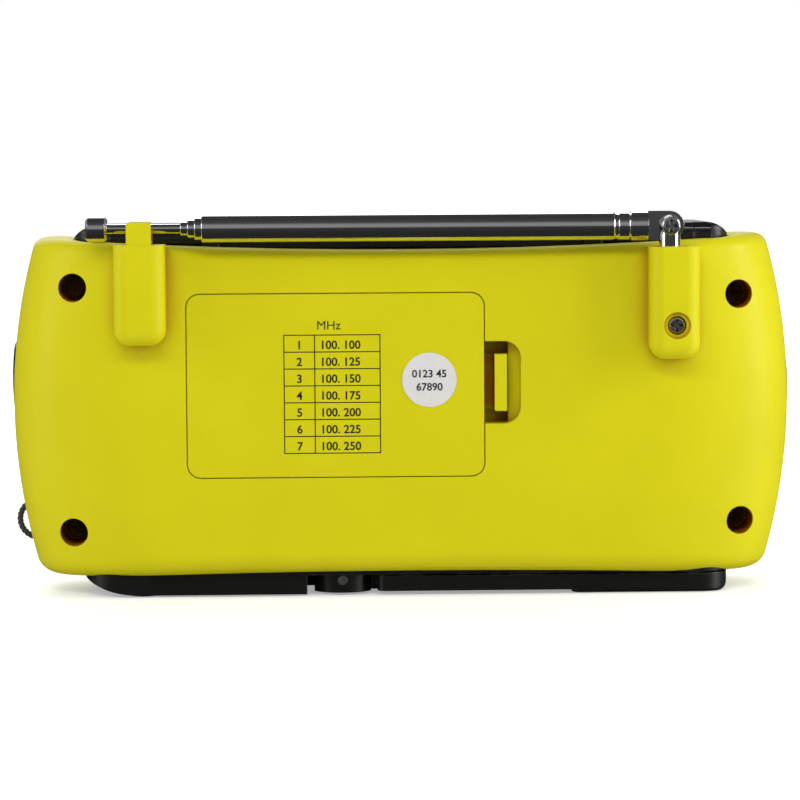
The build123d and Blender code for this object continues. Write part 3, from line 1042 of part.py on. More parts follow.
torch_lens = rod_x(SIDE_CONTROL_Y, TORCH_Z, LENS_RADIUS, (TORCH_FACE_X + 0.7, TORCH_FACE_X + 2.3))
torch_lens.label = "torch_lens"
export_step(torch_lens, "parts/torch_lens.step")

with BuildPart() as torch_reflector:
    with BuildSketch(Plane.XZ.offset(-SIDE_CONTROL_Y)):
        with BuildLine():
            Polyline((TORCH_FACE_X + 2.6, TORCH_Z + 9.3), (TORCH_FACE_X + 2.6, TORCH_Z + 8.7), (-100.5, TORCH_Z + 7.4),
                     (-96.0, TORCH_Z + 5.6), (-96.0, TORCH_Z), (-94.6, TORCH_Z), (-94.6, TORCH_Z + 6.6),
                     (-99.8, TORCH_Z + 8.4), close=True)
        make_face()
    revolve(axis=Axis((0, SIDE_CONTROL_Y, TORCH_Z), (1, 0, 0)))
torch_reflector.part.label = "torch_reflector"
export_step(torch_reflector.part, "parts/torch_reflector.step")

with BuildPart() as torch_leds:
    with BuildSketch(Plane.YZ.offset(-101.0)):
        with Locations((SIDE_CONTROL_Y, TORCH_Z)):
            with PolarLocations(2.9, 3, start_angle=90):
                Circle(2.0)
    extrude(amount=4.95)
    fillet(torch_leds.edges().group_by(Axis.X)[0], 1.5)
torch_leds.part.label = "torch_leds"
export_step(torch_leds.part, "parts/torch_leds.step")

with BuildPart() as strap_loop:
    with BuildSketch(Plane.XY.offset(LOOP_Z)):
        with Locations((LOOP_X + LOOP_RADIUS, LOOP_Y)):
            Circle(CORD_RADIUS)
    revolve(axis=Axis((LOOP_X, LOOP_Y, LOOP_Z), (0, 1, 0)))
strap_loop.part.label = "strap_loop"
export_step(strap_loop.part, "parts/strap_loop.step")
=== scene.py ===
import math

import bmesh
import bpy
from mathutils import Matrix, Vector


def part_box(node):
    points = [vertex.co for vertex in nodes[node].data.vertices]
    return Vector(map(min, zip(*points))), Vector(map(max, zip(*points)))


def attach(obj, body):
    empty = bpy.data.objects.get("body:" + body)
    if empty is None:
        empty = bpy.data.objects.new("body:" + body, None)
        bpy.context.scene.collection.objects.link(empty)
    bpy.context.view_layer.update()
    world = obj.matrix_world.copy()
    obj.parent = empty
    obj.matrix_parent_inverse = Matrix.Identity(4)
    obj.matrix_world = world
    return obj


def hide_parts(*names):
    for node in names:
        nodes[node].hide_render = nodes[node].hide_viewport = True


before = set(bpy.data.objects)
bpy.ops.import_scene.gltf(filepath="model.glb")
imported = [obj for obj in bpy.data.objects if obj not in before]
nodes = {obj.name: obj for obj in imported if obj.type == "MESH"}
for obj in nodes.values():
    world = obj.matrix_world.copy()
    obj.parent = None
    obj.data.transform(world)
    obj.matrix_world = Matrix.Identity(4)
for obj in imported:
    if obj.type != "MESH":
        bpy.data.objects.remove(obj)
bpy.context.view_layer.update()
MM = 0.001


def middle(node):
    """Centre of a node's box, in metres."""
    low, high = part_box(node)
    return (low + high) / 2


# ---------------------------------------------------------------- material building blocks
EDGE_COSINE, FLAT_COSINE = 0.86, 0.995
CLOSED_IN, OPEN_AIR = 0.30, 0.80


class Graph:
    """A material being built: short calls that add nodes and links."""

    def __init__(self, name):
        self.material = bpy.data.materials.new(name)
        self.material.use_nodes = True
        self.tree = self.material.node_tree
        self.bsdf = self.tree.nodes["Principled BSDF"]
        self.place = self.node("ShaderNodeTexCoord").outputs["Object"]

    def node(self, kind, **values):
        made = self.tree.nodes.new(kind)
        for key, value in values.items():
            setattr(made, key, value)
        return made

    def link(self, source, target):
        self.tree.links.new(source, target)

    def set(self, **values):
        """Fixed values of the Principled shader, with _ for each space in an input's name."""
        for key, value in values.items():
            self.bsdf.inputs[key.replace("_", " ")].default_value = value

    def stretched(self, scale):
        """The place on the object, scaled along each axis by its own amount."""
        mapping = self.node("ShaderNodeMapping")
        mapping.inputs["Scale"].default_value = scale
        self.link(self.place, mapping.inputs["Vector"])
        return mapping.outputs["Vector"]

    def noise(self, scale, detail=3.0, roughness=0.5, place=None):
        made = self.node("ShaderNodeTexNoise")
        made.inputs["Scale"].default_value = scale
        made.inputs["Detail"].default_value = detail
        made.inputs["Roughness"].default_value = roughness
        self.link(place or self.place, made.inputs["Vector"])
        return made.outputs["Fac"]

    def ramp(self, source, stops):
        made = self.node("ShaderNodeValToRGB")
        elements = made.color_ramp.elements
        while len(elements) < len(stops):
            elements.new(0.5)
        for element, (position, color) in zip(elements, stops):
            element.position = position
            element.color = (*color, 1)
        self.link(source, made.inputs["Fac"])
        return made.outputs["Color"]

    def spread(self, source, low, high, start=0.3, end=0.7):
        """Maps start to end onto low to high, clamped."""
        made = self.node("ShaderNodeMapRange")
        for key, value in (("From Min", start), ("From Max", end), ("To Min", low), ("To Max", high)):
            made.inputs[key].default_value = value
        self.link(source, made.inputs["Value"])
        return made.outputs["Result"]

    def math(self, operation, first, second=None):
        made = self.node("ShaderNodeMath", operation=operation)
        for slot, value in ((0, first), (1, second)):
            if value is None:
                continue
            if isinstance(value, (int, float)):
                made.inputs[slot].default_value = value
            else:
                self.link(value, made.inputs[slot])
        return made.outputs[0]

    def mix(self, factor, first, second):
        """Blends two colours. Inputs 0, 6 and 7 are the factor and the colours, and output 2 the result."""
        made = self.node("ShaderNodeMix", data_type="RGBA")
        for key, value in ((0, factor), (6, first), (7, second)):
            if isinstance(value, tuple):
                made.inputs[key].default_value = (*value, 1)
            else:
                self.link(value, made.inputs[key])
        return made.outputs[2]

    def rounded_normal(self, radius):
        made = self.node("ShaderNodeBevel", samples=4)
        made.inputs["Radius"].default_value = radius
        return made.outputs["Normal"]

    def edge_mask(self, normal):
        """Near 1 along sharp edges, where handling wears the surface."""
        geometry = self.node("ShaderNodeNewGeometry")
        dot = self.node("ShaderNodeVectorMath", operation="DOT_PRODUCT")
        self.link(normal, dot.inputs[0])
        self.link(geometry.outputs["Normal"], dot.inputs[1])
        return self.spread(dot.outputs["Value"], 1.0, 0.0, EDGE_COSINE, FLAT_COSINE)

    def hidden(self, reach):
        """Mask for painted shade: rises to 1 where the piece's own walls close in on the surface."""
        made = self.node("ShaderNodeAmbientOcclusion", samples=8, only_local=True)
        made.inputs["Distance"].default_value = reach
        return self.spread(made.outputs["AO"], 1.0, 0.0, CLOSED_IN, OPEN_AIR)

    def bump(self, height, strength, distance, normal=None):
        made = self.node("ShaderNodeBump")
        made.inputs["Strength"].default_value = strength
        made.inputs["Distance"].default_value = distance
        self.link(height, made.inputs["Height"])
        if normal is not None:
            self.link(normal, made.inputs["Normal"])
        return made.outputs["Normal"]

    def finish(self, color, roughness, normal=None):
        self.link(color, self.bsdf.inputs["Base Color"])
        self.link(roughness, self.bsdf.inputs["Roughness"])
        if normal is not None:
            self.link(normal, self.bsdf.inputs["Normal"])
        return self.material


def scaled(color, factor):
    return tuple(min(1.0, channel * factor) for channel in color)


def toward(color, goal, share):
    """A colour moved a share of the way to an even grey."""
    return tuple(channel + (goal - channel) * share for channel in color)


# ---------------------------------------------------------------- kinds of material
# How far the painted shade in plastic recesses reaches
PLASTIC_SHADE_REACH = 9 * MM
# Colour of the painted shade in metal recesses
METAL_SHADE = (0.012, 0.010, 0.008)


def moulded_plastic(name, color, roughness, grain=0.25, edge_radius=0.25 * MM, wear=0.25, gloss=0.5,
                    recess_shade=None):
    """Injection-moulded plastic: fine spark-eroded grain, faint flow marks and slightly polished edges.

    The colour given for recesses is painted as shade down in narrow wells, slots and gaps, where little
    light reaches the plastic.
    """
    g = Graph(name)
    g.set(Specular_IOR_Level=gloss)
    normal = g.rounded_normal(edge_radius)
    edges = g.edge_mask(normal)
    clouds = g.noise(scale=38, detail=4)
    flow = g.noise(scale=9, detail=2, roughness=0.4)
    base = g.mix(g.spread(clouds, 0, 1), scaled(color, 0.965), scaled(color, 1.03))
    base = g.mix(g.spread(flow, 0, 0.5), base, scaled(color, 0.94))
    rubbing = g.noise(scale=210, detail=5, roughness=0.65)
    handled = g.math("MULTIPLY", edges, g.spread(rubbing, 0, wear, start=0.45, end=0.62))
    base = g.mix(handled, base, toward(color, goal=0.9, share=0.22))
    # Painted shade: the plastic turns brown where its own walls close in, down in wells, slots and gaps
    if recess_shade is not None:
        base = g.mix(g.hidden(PLASTIC_SHADE_REACH), base, recess_shade)
    smudge = g.noise(scale=75, detail=6, roughness=0.7)
    rough = g.spread(smudge, roughness - 0.05, roughness + 0.06)
    rough = g.math("SUBTRACT", rough, g.math("MULTIPLY", edges, 0.08))
    grains = g.noise(scale=5200, detail=2, roughness=0.6)
    return g.finish(base, rough, g.bump(grains, grain, 0.03 * MM, normal))


def polished_metal(name, color, roughness, streak=(60, 2600, 2600), strength=0.08, shade_reach=0.0):
    """Plated or drawn metal with fine draw lines, faint tarnish and scratches.

    The reach given for recesses is how far from their walls the metal is darkened as painted shade.
    """
    g = Graph(name)
    g.set(Metallic=1.0)
    normal = g.rounded_normal(0.12 * MM)
    lines = g.noise(scale=1.0, detail=2, roughness=0.5, place=g.stretched(streak))
    film = g.noise(scale=55, detail=5, roughness=0.6)
    base = g.mix(g.spread(film, 0, 1), scaled(color, 0.93), color)
    # Painted shade: the metal darkens near the walls of its own recesses, such as a screw's cross
    if shade_reach:
        base = g.mix(g.hidden(shade_reach), base, METAL_SHADE)
    tarnish = g.spread(film, roughness * 0.7, roughness * 1.5)
    rough = g.math("ADD", tarnish, g.spread(lines, 0, roughness * 0.4))
    return g.finish(base, rough, g.bump(lines, strength, 0.02 * MM, normal))


def clear_plastic(name, tint, roughness=0.05):
    """Clear moulded plastic with faint handling haze."""
    g = Graph(name)
    g.set(Transmission_Weight=1.0, IOR=1.49)
    haze = g.noise(scale=160, detail=6, roughness=0.7)
    base = g.mix(g.spread(haze, 0, 1), tint, scaled(tint, 0.95))
    waves = g.bump(g.noise(scale=420, detail=2), 0.05, 0.02 * MM, g.rounded_normal(0.15 * MM))
    return g.finish(base, g.spread(haze, roughness, roughness + 0.08, start=0.45, end=0.8), waves)


def printed(name, color, roughness=0.5, wear=0.12):
    """Screen-printed ink, a little uneven where the mesh left it thin."""
    g = Graph(name)
    speckle = g.noise(scale=3800, detail=3, roughness=0.7)
    thin = g.spread(speckle, 0, wear, start=0.5, end=0.75)
    base = g.mix(thin, color, toward(color, goal=0.5, share=0.35))
    rough = g.spread(speckle, roughness - 0.08, roughness + 0.1)
    return g.finish(base, rough, g.bump(speckle, 0.15, 0.01 * MM))


def paper(name):
    """Uncoated white paper with fibres."""
    g = Graph(name)
    fibre = g.noise(scale=1.0, detail=4, roughness=0.7, place=g.stretched((2600, 2600, 700)))
    soft = g.noise(scale=320, detail=4)
    base = g.ramp(fibre, [(0.3, (0.62, 0.60, 0.595)), (0.7, (0.70, 0.68, 0.675))])
    base = g.mix(g.spread(soft, 0, 0.25), base, (0.58, 0.57, 0.56))
    return g.finish(base, g.spread(soft, 0.42, 0.6), g.bump(fibre, 0.2, 0.02 * MM))


def rubber(name):
    """Black rubber with dust in its surface."""
    g = Graph(name)
    fine = g.noise(scale=2400, detail=4, roughness=0.7)
    dust = g.noise(scale=120, detail=5, roughness=0.65)
    dusty = g.spread(dust, 0, 0.35, start=0.5, end=0.8)
    base = g.mix(dusty, (0.018, 0.018, 0.019), (0.09, 0.088, 0.084))
    pores = g.bump(fine, 0.4, 0.03 * MM, g.rounded_normal(0.3 * MM))
    return g.finish(base, g.spread(dust, 0.62, 0.85), pores)


def cord_weave(name):
    """Black nylon fibre with a soft sheen."""
    g = Graph(name)
    fibre = g.noise(scale=5200, detail=3, roughness=0.7)
    base = g.mix(g.spread(fibre, 0, 1), (0.012, 0.012, 0.014), (0.05, 0.05, 0.055))
    g.set(Sheen_Weight=0.35)
    return g.finish(base, g.spread(fibre, 0.6, 0.85), g.bump(fibre, 0.5, 0.03 * MM))


def solar_silicon(name):
    """Dark blue cells with silver bus bars across and fine fingers along."""
    cell_count, bar_count = 8, 2
    seam_half, finger_width, bar_half = 0.47, 0.12, 0.035
    finger_pitch = 1.15 * MM
    g = Graph(name)
    low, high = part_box("solar_cell")
    split = g.node("ShaderNodeSeparateXYZ")
    g.link(g.place, split.inputs["Vector"])
    pitch = (high.x - low.x) / cell_count
    across = g.math("FRACT", g.math("DIVIDE", g.math("SUBTRACT", split.outputs["X"], low.x), pitch))
    seam = g.math("LESS_THAN", g.math("ABSOLUTE", g.math("SUBTRACT", across, 0.5)), seam_half)
    fingers = g.math("FRACT", g.math("DIVIDE", split.outputs["X"], finger_pitch))
    finger = g.math("MULTIPLY", g.math("LESS_THAN", fingers, finger_width), seam)
    bar_pitch = (high.y - low.y) / bar_count
    bars = g.math("FRACT", g.math("DIVIDE", g.math("SUBTRACT", split.outputs["Y"], low.y), bar_pitch))
    bar = g.math("LESS_THAN", g.math("ABSOLUTE", g.math("SUBTRACT", bars, 0.5)), bar_half)
    crystals = g.noise(scale=90, detail=2)
    grain = g.ramp(crystals, [(0.3, (0.006, 0.008, 0.035)), (0.7, (0.014, 0.018, 0.07))])
    base = g.mix(seam, (0.01, 0.01, 0.012), grain)
    base = g.mix(g.math("MULTIPLY", finger, 0.5), base, (0.22, 0.23, 0.26))
    base = g.mix(bar, base, (0.45, 0.46, 0.48))
    g.set(Coat_Weight=1.0, Coat_Roughness=0.06)
    return g.finish(base, g.spread(g.noise(scale=60, detail=5), 0.12, 0.28), g.rounded_normal(0.2 * MM))


def circuit_board(name):
    """Green solder mask over a grid of copper tracks."""
    g = Graph(name)
    cells = g.node("ShaderNodeTexVoronoi", feature="DISTANCE_TO_EDGE", distance="MANHATTAN")
    cells.inputs["Scale"].default_value = 260
    g.link(g.place, cells.inputs["Vector"])
    tracks = g.spread(cells.outputs["Distance"], 1, 0, start=0.06, end=0.1)
    base = g.mix(tracks, (0.012, 0.085, 0.03), (0.03, 0.20, 0.07))
    return g.finish(base, g.spread(g.noise(scale=140), 0.3, 0.45), g.bump(tracks, 0.3, 0.05 * MM))


def cell_wrap(name, body_color, band_color, cells_box):
    """Printed shrink sleeve: a coloured body, a band at the positive end and bare steel ends."""
    band_start, low_end, high_end = 0.72, 0.02, 0.972
    g = Graph(name)
    low, high = cells_box
    split = g.node("ShaderNodeSeparateXYZ")
    g.link(g.place, split.inputs["Vector"])
    along = g.math("DIVIDE", g.math("SUBTRACT", split.outputs["X"], low.x), high.x - low.x)
    band = g.math("GREATER_THAN", along, band_start)
    end = g.math("MAXIMUM", g.math("LESS_THAN", along, low_end), g.math("GREATER_THAN", along, high_end))
    base = g.mix(band, body_color, band_color)
    scuff = g.noise(scale=300, detail=5, roughness=0.7)
    base = g.mix(g.spread(scuff, 0, 0.2, start=0.5, end=0.8), base, (0.4, 0.4, 0.4))
    base = g.mix(end, base, (0.55, 0.55, 0.56))
    g.link(end, g.bsdf.inputs["Metallic"])
    return g.finish(base, g.spread(scuff, 0.22, 0.4), g.rounded_normal(0.5 * MM))


def speckled(name, color, roughness, scale, bump):
    """Sintered, paper or moulded part with a visible grain."""
    g = Graph(name)
    grain = g.noise(scale, detail=4, roughness=0.7)
    base = g.mix(g.spread(grain, 0, 1), scaled(color, 0.8), scaled(color, 1.2))
    return g.finish(base, g.spread(grain, roughness - 0.08, roughness + 0.08),
                    g.bump(grain, bump, 0.05 * MM, g.rounded_normal(0.2 * MM)))


def led_dome(name, tint):
    """Slightly clouded epoxy dome."""
    g = Graph(name)
    g.set(Transmission_Weight=0.75, IOR=1.5)
    cloud = g.noise(scale=700, detail=3)
    base = g.mix(g.spread(cloud, 0, 1), tint, scaled(tint, 0.9))
    dome = g.bump(cloud, 0.1, 0.02 * MM, g.rounded_normal(0.6 * MM))
    return g.finish(base, g.spread(cloud, 0.08, 0.2), dome)


# ---------------------------------------------------------------- the object's materials
YELLOW = (0.600, 0.550, 0.0030)
# Painted shade: the brown the yellow plastic is darkened to in wells, slots and gaps
SHADE_BROWN = (0.420, 0.150, 0.0020)
BLACK = (0.0060, 0.0060, 0.0052)
PLATING = (0.80, 0.80, 0.82)
ALL_WAYS = (900, 900, 900)
yellow = moulded_plastic("yellow_shell", YELLOW, roughness=0.42, grain=0.10, edge_radius=0.45 * MM, wear=0.2,
                         gloss=0.16, recess_shade=SHADE_BROWN)
black = moulded_plastic("black_shell", BLACK, roughness=0.36, grain=0.30, edge_radius=0.45 * MM, wear=0.5)
black_fine = moulded_plastic("black_control", scaled(BLACK, 1.3), roughness=0.3, grain=0.2, wear=0.5)
grey = moulded_plastic("grey_button", (0.16, 0.16, 0.165), roughness=0.45, grain=0.3, edge_radius=0.3 * MM,
                       wear=0.3)
chrome = polished_metal("chrome", PLATING, roughness=0.07)
steel = polished_metal("steel", (0.56, 0.55, 0.53), roughness=0.26, streak=ALL_WAYS, strength=0.15)
# Dark plated steel, made browner and darker still as painted shade, since the case screws sit at the bottom
# of deep wells
dark_and_shaded_steel = polished_metal("case_screw", (0.120, 0.075, 0.050), roughness=0.38, streak=ALL_WAYS,
                            strength=0.15)
# Painted shade darkens the screws' own cross recesses
bright_screw = polished_metal("bright_screw", PLATING, roughness=0.12, streak=ALL_WAYS, strength=0.15,
                              shade_reach=0.9 * MM)
reflector = polished_metal("reflector", (0.86, 0.86, 0.88), roughness=0.05, streak=(400, 400, 400),
                           strength=0.03)
clear = clear_plastic("clear", (0.95, 0.97, 0.98))
label_paper = paper("label")
ink = printed("ink", (0.016, 0.015, 0.012))
white_ink = printed("white_ink", (0.72, 0.72, 0.70))
scale_black = printed("dark_panel", (0.015, 0.016, 0.02), roughness=0.55)
foot_rubber = rubber("rubber")
cord = cord_weave("cord")
solar = solar_silicon("solar")
board = circuit_board("board")
gear_plastic = speckled("gear", (0.72, 0.71, 0.66), roughness=0.45, scale=900, bump=0.1)
cone_paper = speckled("cone", (0.05, 0.048, 0.046), roughness=0.8, scale=1400, bump=0.5)
ferrite = speckled("ferrite", (0.05, 0.047, 0.045), roughness=0.6, scale=2200, bump=0.3)
pointer_red = moulded_plastic("pointer", (0.75, 0.06, 0.015), roughness=0.35, grain=0.1)
aa_wrap = cell_wrap("cell_wrap", (0.02, 0.16, 0.07), (0.35, 0.30, 0.06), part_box("aa_cells"))
backup_wrap = speckled("backup_wrap", (0.03, 0.20, 0.22), roughness=0.3, scale=500, bump=0.05)
white_led = led_dome("led", (0.96, 0.96, 0.90))

# The strap loop's own solid is hidden, and has the cord's finish in case it is shown
FINISHES = {
    yellow: ["rear_shell", "front_shell", "battery_door", "battery_box"],
    black: ["base_skirt", "top_deck", "solar_lid", "lid_underside", "speaker_grille", "crank_hub",
            "crank_arm"],
    black_fine: ["tuning_knob", "volume_knob", "crank_knob", "sockets", "gear_plate"],
    grey: ["band_slider", "light_slider", "lamp_button", "scan_button"],
    chrome: ["antenna_post", "antenna_tube", "antenna_section_2", "antenna_section_3", "antenna_section_4",
             "antenna_rod", "torch_bezel"],
    bright_screw: ["post_screw", "pivot_screw"],
    dark_and_shaded_steel: ["case_screws"],
    steel: ["battery_springs", "hinge_pins", "fold_pin", "dynamo_can",
            "speaker_frame", "board_switches", "volume_control"],
    reflector: ["torch_reflector"],
    clear: ["dial_window", "torch_lens", "lamp_lens", "tuning_capacitor"],
    label_paper: ["round_label"],
    scale_black: ["dial_scale"],
    foot_rubber: ["rubber_feet"],
    cord: ["strap_loop"],
    solar: ["solar_cell"],
    board: ["main_board"],
    gear_plastic: ["crank_gear", "middle_gear", "dynamo_rotor", "tuning_drum"],
    cone_paper: ["speaker_cone"],
    ferrite: ["ferrite_rod"],
    pointer_red: ["dial_pointer"],
    aa_wrap: ["aa_cells"],
    backup_wrap: ["backup_cells"],
    white_led: ["lamp_leds", "torch_leds", "indicator_leds"],
}
CAD_SMOOTH_ANGLE = 28
CORD_SMOOTH_ANGLE = 35


def cover(mesh, material):
    mesh.materials.clear()
    mesh.materials.append(material)


def smooth(mesh, angle):
    """Smooth shading, with every edge over the angle in degrees kept sharp."""
    for polygon in mesh.polygons:
        polygon.use_smooth = True
    mesh.set_sharp_from_angle(angle=math.radians(angle))


for finish_material, members in FINISHES.items():
    for member in members:
        cover(nodes[member].data, finish_material)
        smooth(nodes[member].data, CAD_SMOOTH_ANGLE)


# ---------------------------------------------------------------- added pieces
def show(thing):
    bpy.context.scene.collection.objects.link(thing)
    return thing


def add_piece(name, mesh, material, body):
    piece = show(bpy.data.objects.new(name, mesh))
    cover(mesh, material)
    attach(piece, body)
    return piece


# ---------------------------------------------------------------- print
INK_THICKNESS = 0.03 * MM
INK_SPREAD = 0.028
LETTER_SIZE = 1.38
MERGE_DISTANCE = 1e-7


def facing(direction, x, z, y):
    """Placement on a wall that looks along +Y (1) or -Y (-1), with letters upright and readable."""
    across = Vector((-direction, 0, 0))
    upward = Vector((0, 0, 1))
    turn = Matrix((across, upward, across.cross(upward))).transposed().to_4x4()
    return Matrix.Translation((x * MM, y, z * MM)) @ turn


def add_bar(work, direction, y, x, z, width, height):
    place = Matrix.Translation((x * MM, y + direction * INK_THICKNESS / 2, z * MM))
    size = Matrix.Diagonal((width * MM, INK_THICKNESS, height * MM, 1))
    bmesh.ops.create_cube(work, size=1, matrix=place @ size)


def add_word(work, direction, y, text, x, z, height, align):
    """Letters of this height, with digits a little fatter than their outline, as wet ink leaves them."""
    data = bpy.data.curves.new("word", "FONT")
    data.body = text
    data.align_x = align
    data.size = height * LETTER_SIZE * MM
    data.offset = 0.0 if text.isalpha() else height * INK_SPREAD * MM
    data.extrude = INK_THICKNESS / 2
    data.resolution_u = 4
    word = show(bpy.data.objects.new("word", data))
    word.matrix_world = facing(direction, x, z, y + direction * INK_THICKNESS / 2)
    bpy.context.view_layer.update()
    shape = bpy.data.meshes.new_from_object(word.evaluated_get(bpy.context.evaluated_depsgraph_get()))
    shape.transform(word.matrix_world)
    work.from_mesh(shape)
    bpy.data.objects.remove(word)
    bpy.data.meshes.remove(shape)


def print_mesh(name, bars, words, direction, y):
    """Ink on a flat wall at y, in metres, that looks along +Y (1) or -Y (-1).

    A bar is (x, z, width, height) and a word (text, x, z, height, align), in millimetres.
    """
    work = bmesh.new()
    for bar in bars:
        add_bar(work, direction, y, *bar)
    for word in words:
        add_word(work, direction, y, *word)
    mesh = bpy.data.meshes.new(name)
    bmesh.ops.remove_doubles(work, verts=work.verts, dist=MERGE_DISTANCE)
    work.to_mesh(mesh)
    work.free()
    return mesh


# ---------------------------------------------------------------- printed table on the battery door
TABLE_LEFT, TABLE_SPLIT, TABLE_RIGHT = 32.6, 24.25, 6.5
TABLE_TOP, TABLE_LOW, TABLE_ROWS = 72.1, 39.9, 7
LINE = 0.28
TITLE_HEIGHT, TITLE_INSET, TITLE_LIFT = 2.5, 0.5, 1.5
DIGIT_HEIGHT, DIGIT_INSET, DIGIT_LIFT = 2.3, 1.4, 0.85
FIRST_NUMBER, NUMBER_STEP = 100, 25


def door_table():
    """Ruled table of numbered rows under its unit: bars and words."""
    row_height = (TABLE_TOP - TABLE_LOW) / TABLE_ROWS
    bars = [(x, (TABLE_TOP + TABLE_LOW) / 2, LINE, TABLE_TOP - TABLE_LOW + LINE)
            for x in (TABLE_LEFT, TABLE_SPLIT, TABLE_RIGHT)]
    bars += [((TABLE_LEFT + TABLE_RIGHT) / 2, TABLE_TOP - row * row_height, TABLE_LEFT - TABLE_RIGHT, LINE)
             for row in range(TABLE_ROWS + 1)]
    words = [("MHz", TABLE_SPLIT - TITLE_INSET, TABLE_TOP + TITLE_LIFT, TITLE_HEIGHT, "LEFT")]
    for row in range(TABLE_ROWS):
        base = TABLE_TOP - (row + 1) * row_height + DIGIT_LIFT
        number = "100. %03d" % (FIRST_NUMBER + NUMBER_STEP * row)
        words.append((str(row + 1), (TABLE_LEFT + TABLE_SPLIT) / 2, base, DIGIT_HEIGHT, "CENTER"))
        words.append((number, TABLE_SPLIT - DIGIT_INSET, base, DIGIT_HEIGHT, "LEFT"))
    return bars, words


door_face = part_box("battery_door")[1].y
add_piece("door_print", print_mesh("door_print", *door_table(), 1, door_face), ink, "door")

# ---------------------------------------------------------------- digits on the round label
LABEL_LINES = (("0123 45", 0.7), ("67890", -2.9))
LABEL_HEIGHT = 2.1
label_middle = middle("round_label")
label_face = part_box("round_label")[1].y
label_words = [(text, label_middle.x / MM, label_middle.z / MM + lift, LABEL_HEIGHT, "CENTER")
               for text, lift in LABEL_LINES]
add_piece("label_print", print_mesh("label_print", [], label_words, 1, label_face), ink, "door")

# ---------------------------------------------------------------- dial scale
SCALE_TRAVEL = 44.3
SCALE_OVERRUN = 4
SCALE_OFFSET = 3.6
SCALE_LINE = 0.18
UPPER_NUMBERS = (88, 92, 96, 100, 104, 108)
LOWER_NUMBERS = (54, 70, 90, 110, 140, 160)
GAPS, GAP_PARTS = 5, 4
TICK_WIDTH, TICK_LENGTH = 0.2, 1.4
PART_WIDTH, PART_LENGTH = 0.13, 0.8
SCALE_DIGITS = 1.9


def dial_marks(pointer_start, middle_z):
    """Two scales back to back, with ticks and numbers pointing away from each other: bars and words."""
    bars, words = [], []
    for outward, numbers, number_lift in ((1, UPPER_NUMBERS, 1.8), (-1, LOWER_NUMBERS, -3.7)):
        line_z = middle_z + outward * SCALE_OFFSET
        bars.append((pointer_start + SCALE_TRAVEL / 2, line_z, SCALE_TRAVEL + SCALE_OVERRUN, SCALE_LINE))
        for index, number in enumerate(numbers):
            tick_x = pointer_start + SCALE_TRAVEL * index / GAPS
            bars.append((tick_x, line_z + outward * TICK_LENGTH / 2, TICK_WIDTH, TICK_LENGTH))
            words.append((str(number), tick_x, line_z + number_lift, SCALE_DIGITS, "CENTER"))
            if index == GAPS:
                continue
            for part in range(1, GAP_PARTS):
                part_x = tick_x + SCALE_TRAVEL / (GAPS * GAP_PARTS) * part
                bars.append((part_x, line_z + outward * PART_LENGTH / 2, PART_WIDTH, PART_LENGTH))
    return bars, words


scale_low, scale_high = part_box("dial_scale")
dial_bars, dial_words = dial_marks(middle("dial_pointer").x / MM, (scale_low.z + scale_high.z) / 2 / MM)
dial_mesh = print_mesh("dial_print", dial_bars, dial_words, -1, scale_low.y)
add_piece("dial_print", dial_mesh, white_ink, "case")

# ---------------------------------------------------------------- braided strap loop
LOOP_RADIUS = 5.3
STRAND_COUNT, STRAND_TURNS, STRAND_RADIUS, CORD_RADIUS = 3, 9, 0.56, 0.34


def strand_tube(centre, phase, segments=360, sides=10):
    """One strand of the cord, winding round the loop's own circle."""
    points, faces = [], []
    for step in range(segments):
        t = 2 * math.pi * step / segments
        radial = Vector((math.cos(t), 0, math.sin(t)))
        twist = STRAND_TURNS * t + phase
        core = centre + radial * (LOOP_RADIUS + CORD_RADIUS * math.cos(twist)) * MM \
            + Vector((0, CORD_RADIUS * math.sin(twist) * MM, 0))
        for k in range(sides):
            a = 2 * math.pi * k / sides
            points.append(core + radial * STRAND_RADIUS * MM * math.cos(a)
                          + Vector((0, STRAND_RADIUS * MM * math.sin(a), 0)))
    for step in range(segments):
        here, there = step * sides, (step + 1) % segments * sides
        for k in range(sides):
            after = (k + 1) % sides
            faces.append((here + k, here + after, there + after, there + k))
    mesh = bpy.data.meshes.new("cord_strand")
    mesh.from_pydata(points, [], faces)
    work = bmesh.new()
    work.from_mesh(mesh)
    bmesh.ops.recalc_face_normals(work, faces=work.faces)
    work.to_mesh(mesh)
    work.free()
    smooth(mesh, CORD_SMOOTH_ANGLE)
    return mesh


loop_middle = middle("strap_loop")
for strand in range(STRAND_COUNT):
    strand_mesh = strand_tube(loop_middle, 2 * math.pi * strand / STRAND_COUNT)
    strand_piece = add_piece("cord_strand_%d" % (strand + 1), strand_mesh, cord, "case")
    if strand == 0:
        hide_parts("strap_loop")

# ---------------------------------------------------------------- floor
FLOOR_HALF = 4
FLOOR_GLOW = 0.36
GLOW_START, GLOW_END = 0.15, 0.75
FLOOR_MIRRORED = (0.014, 0.014, 0.014)


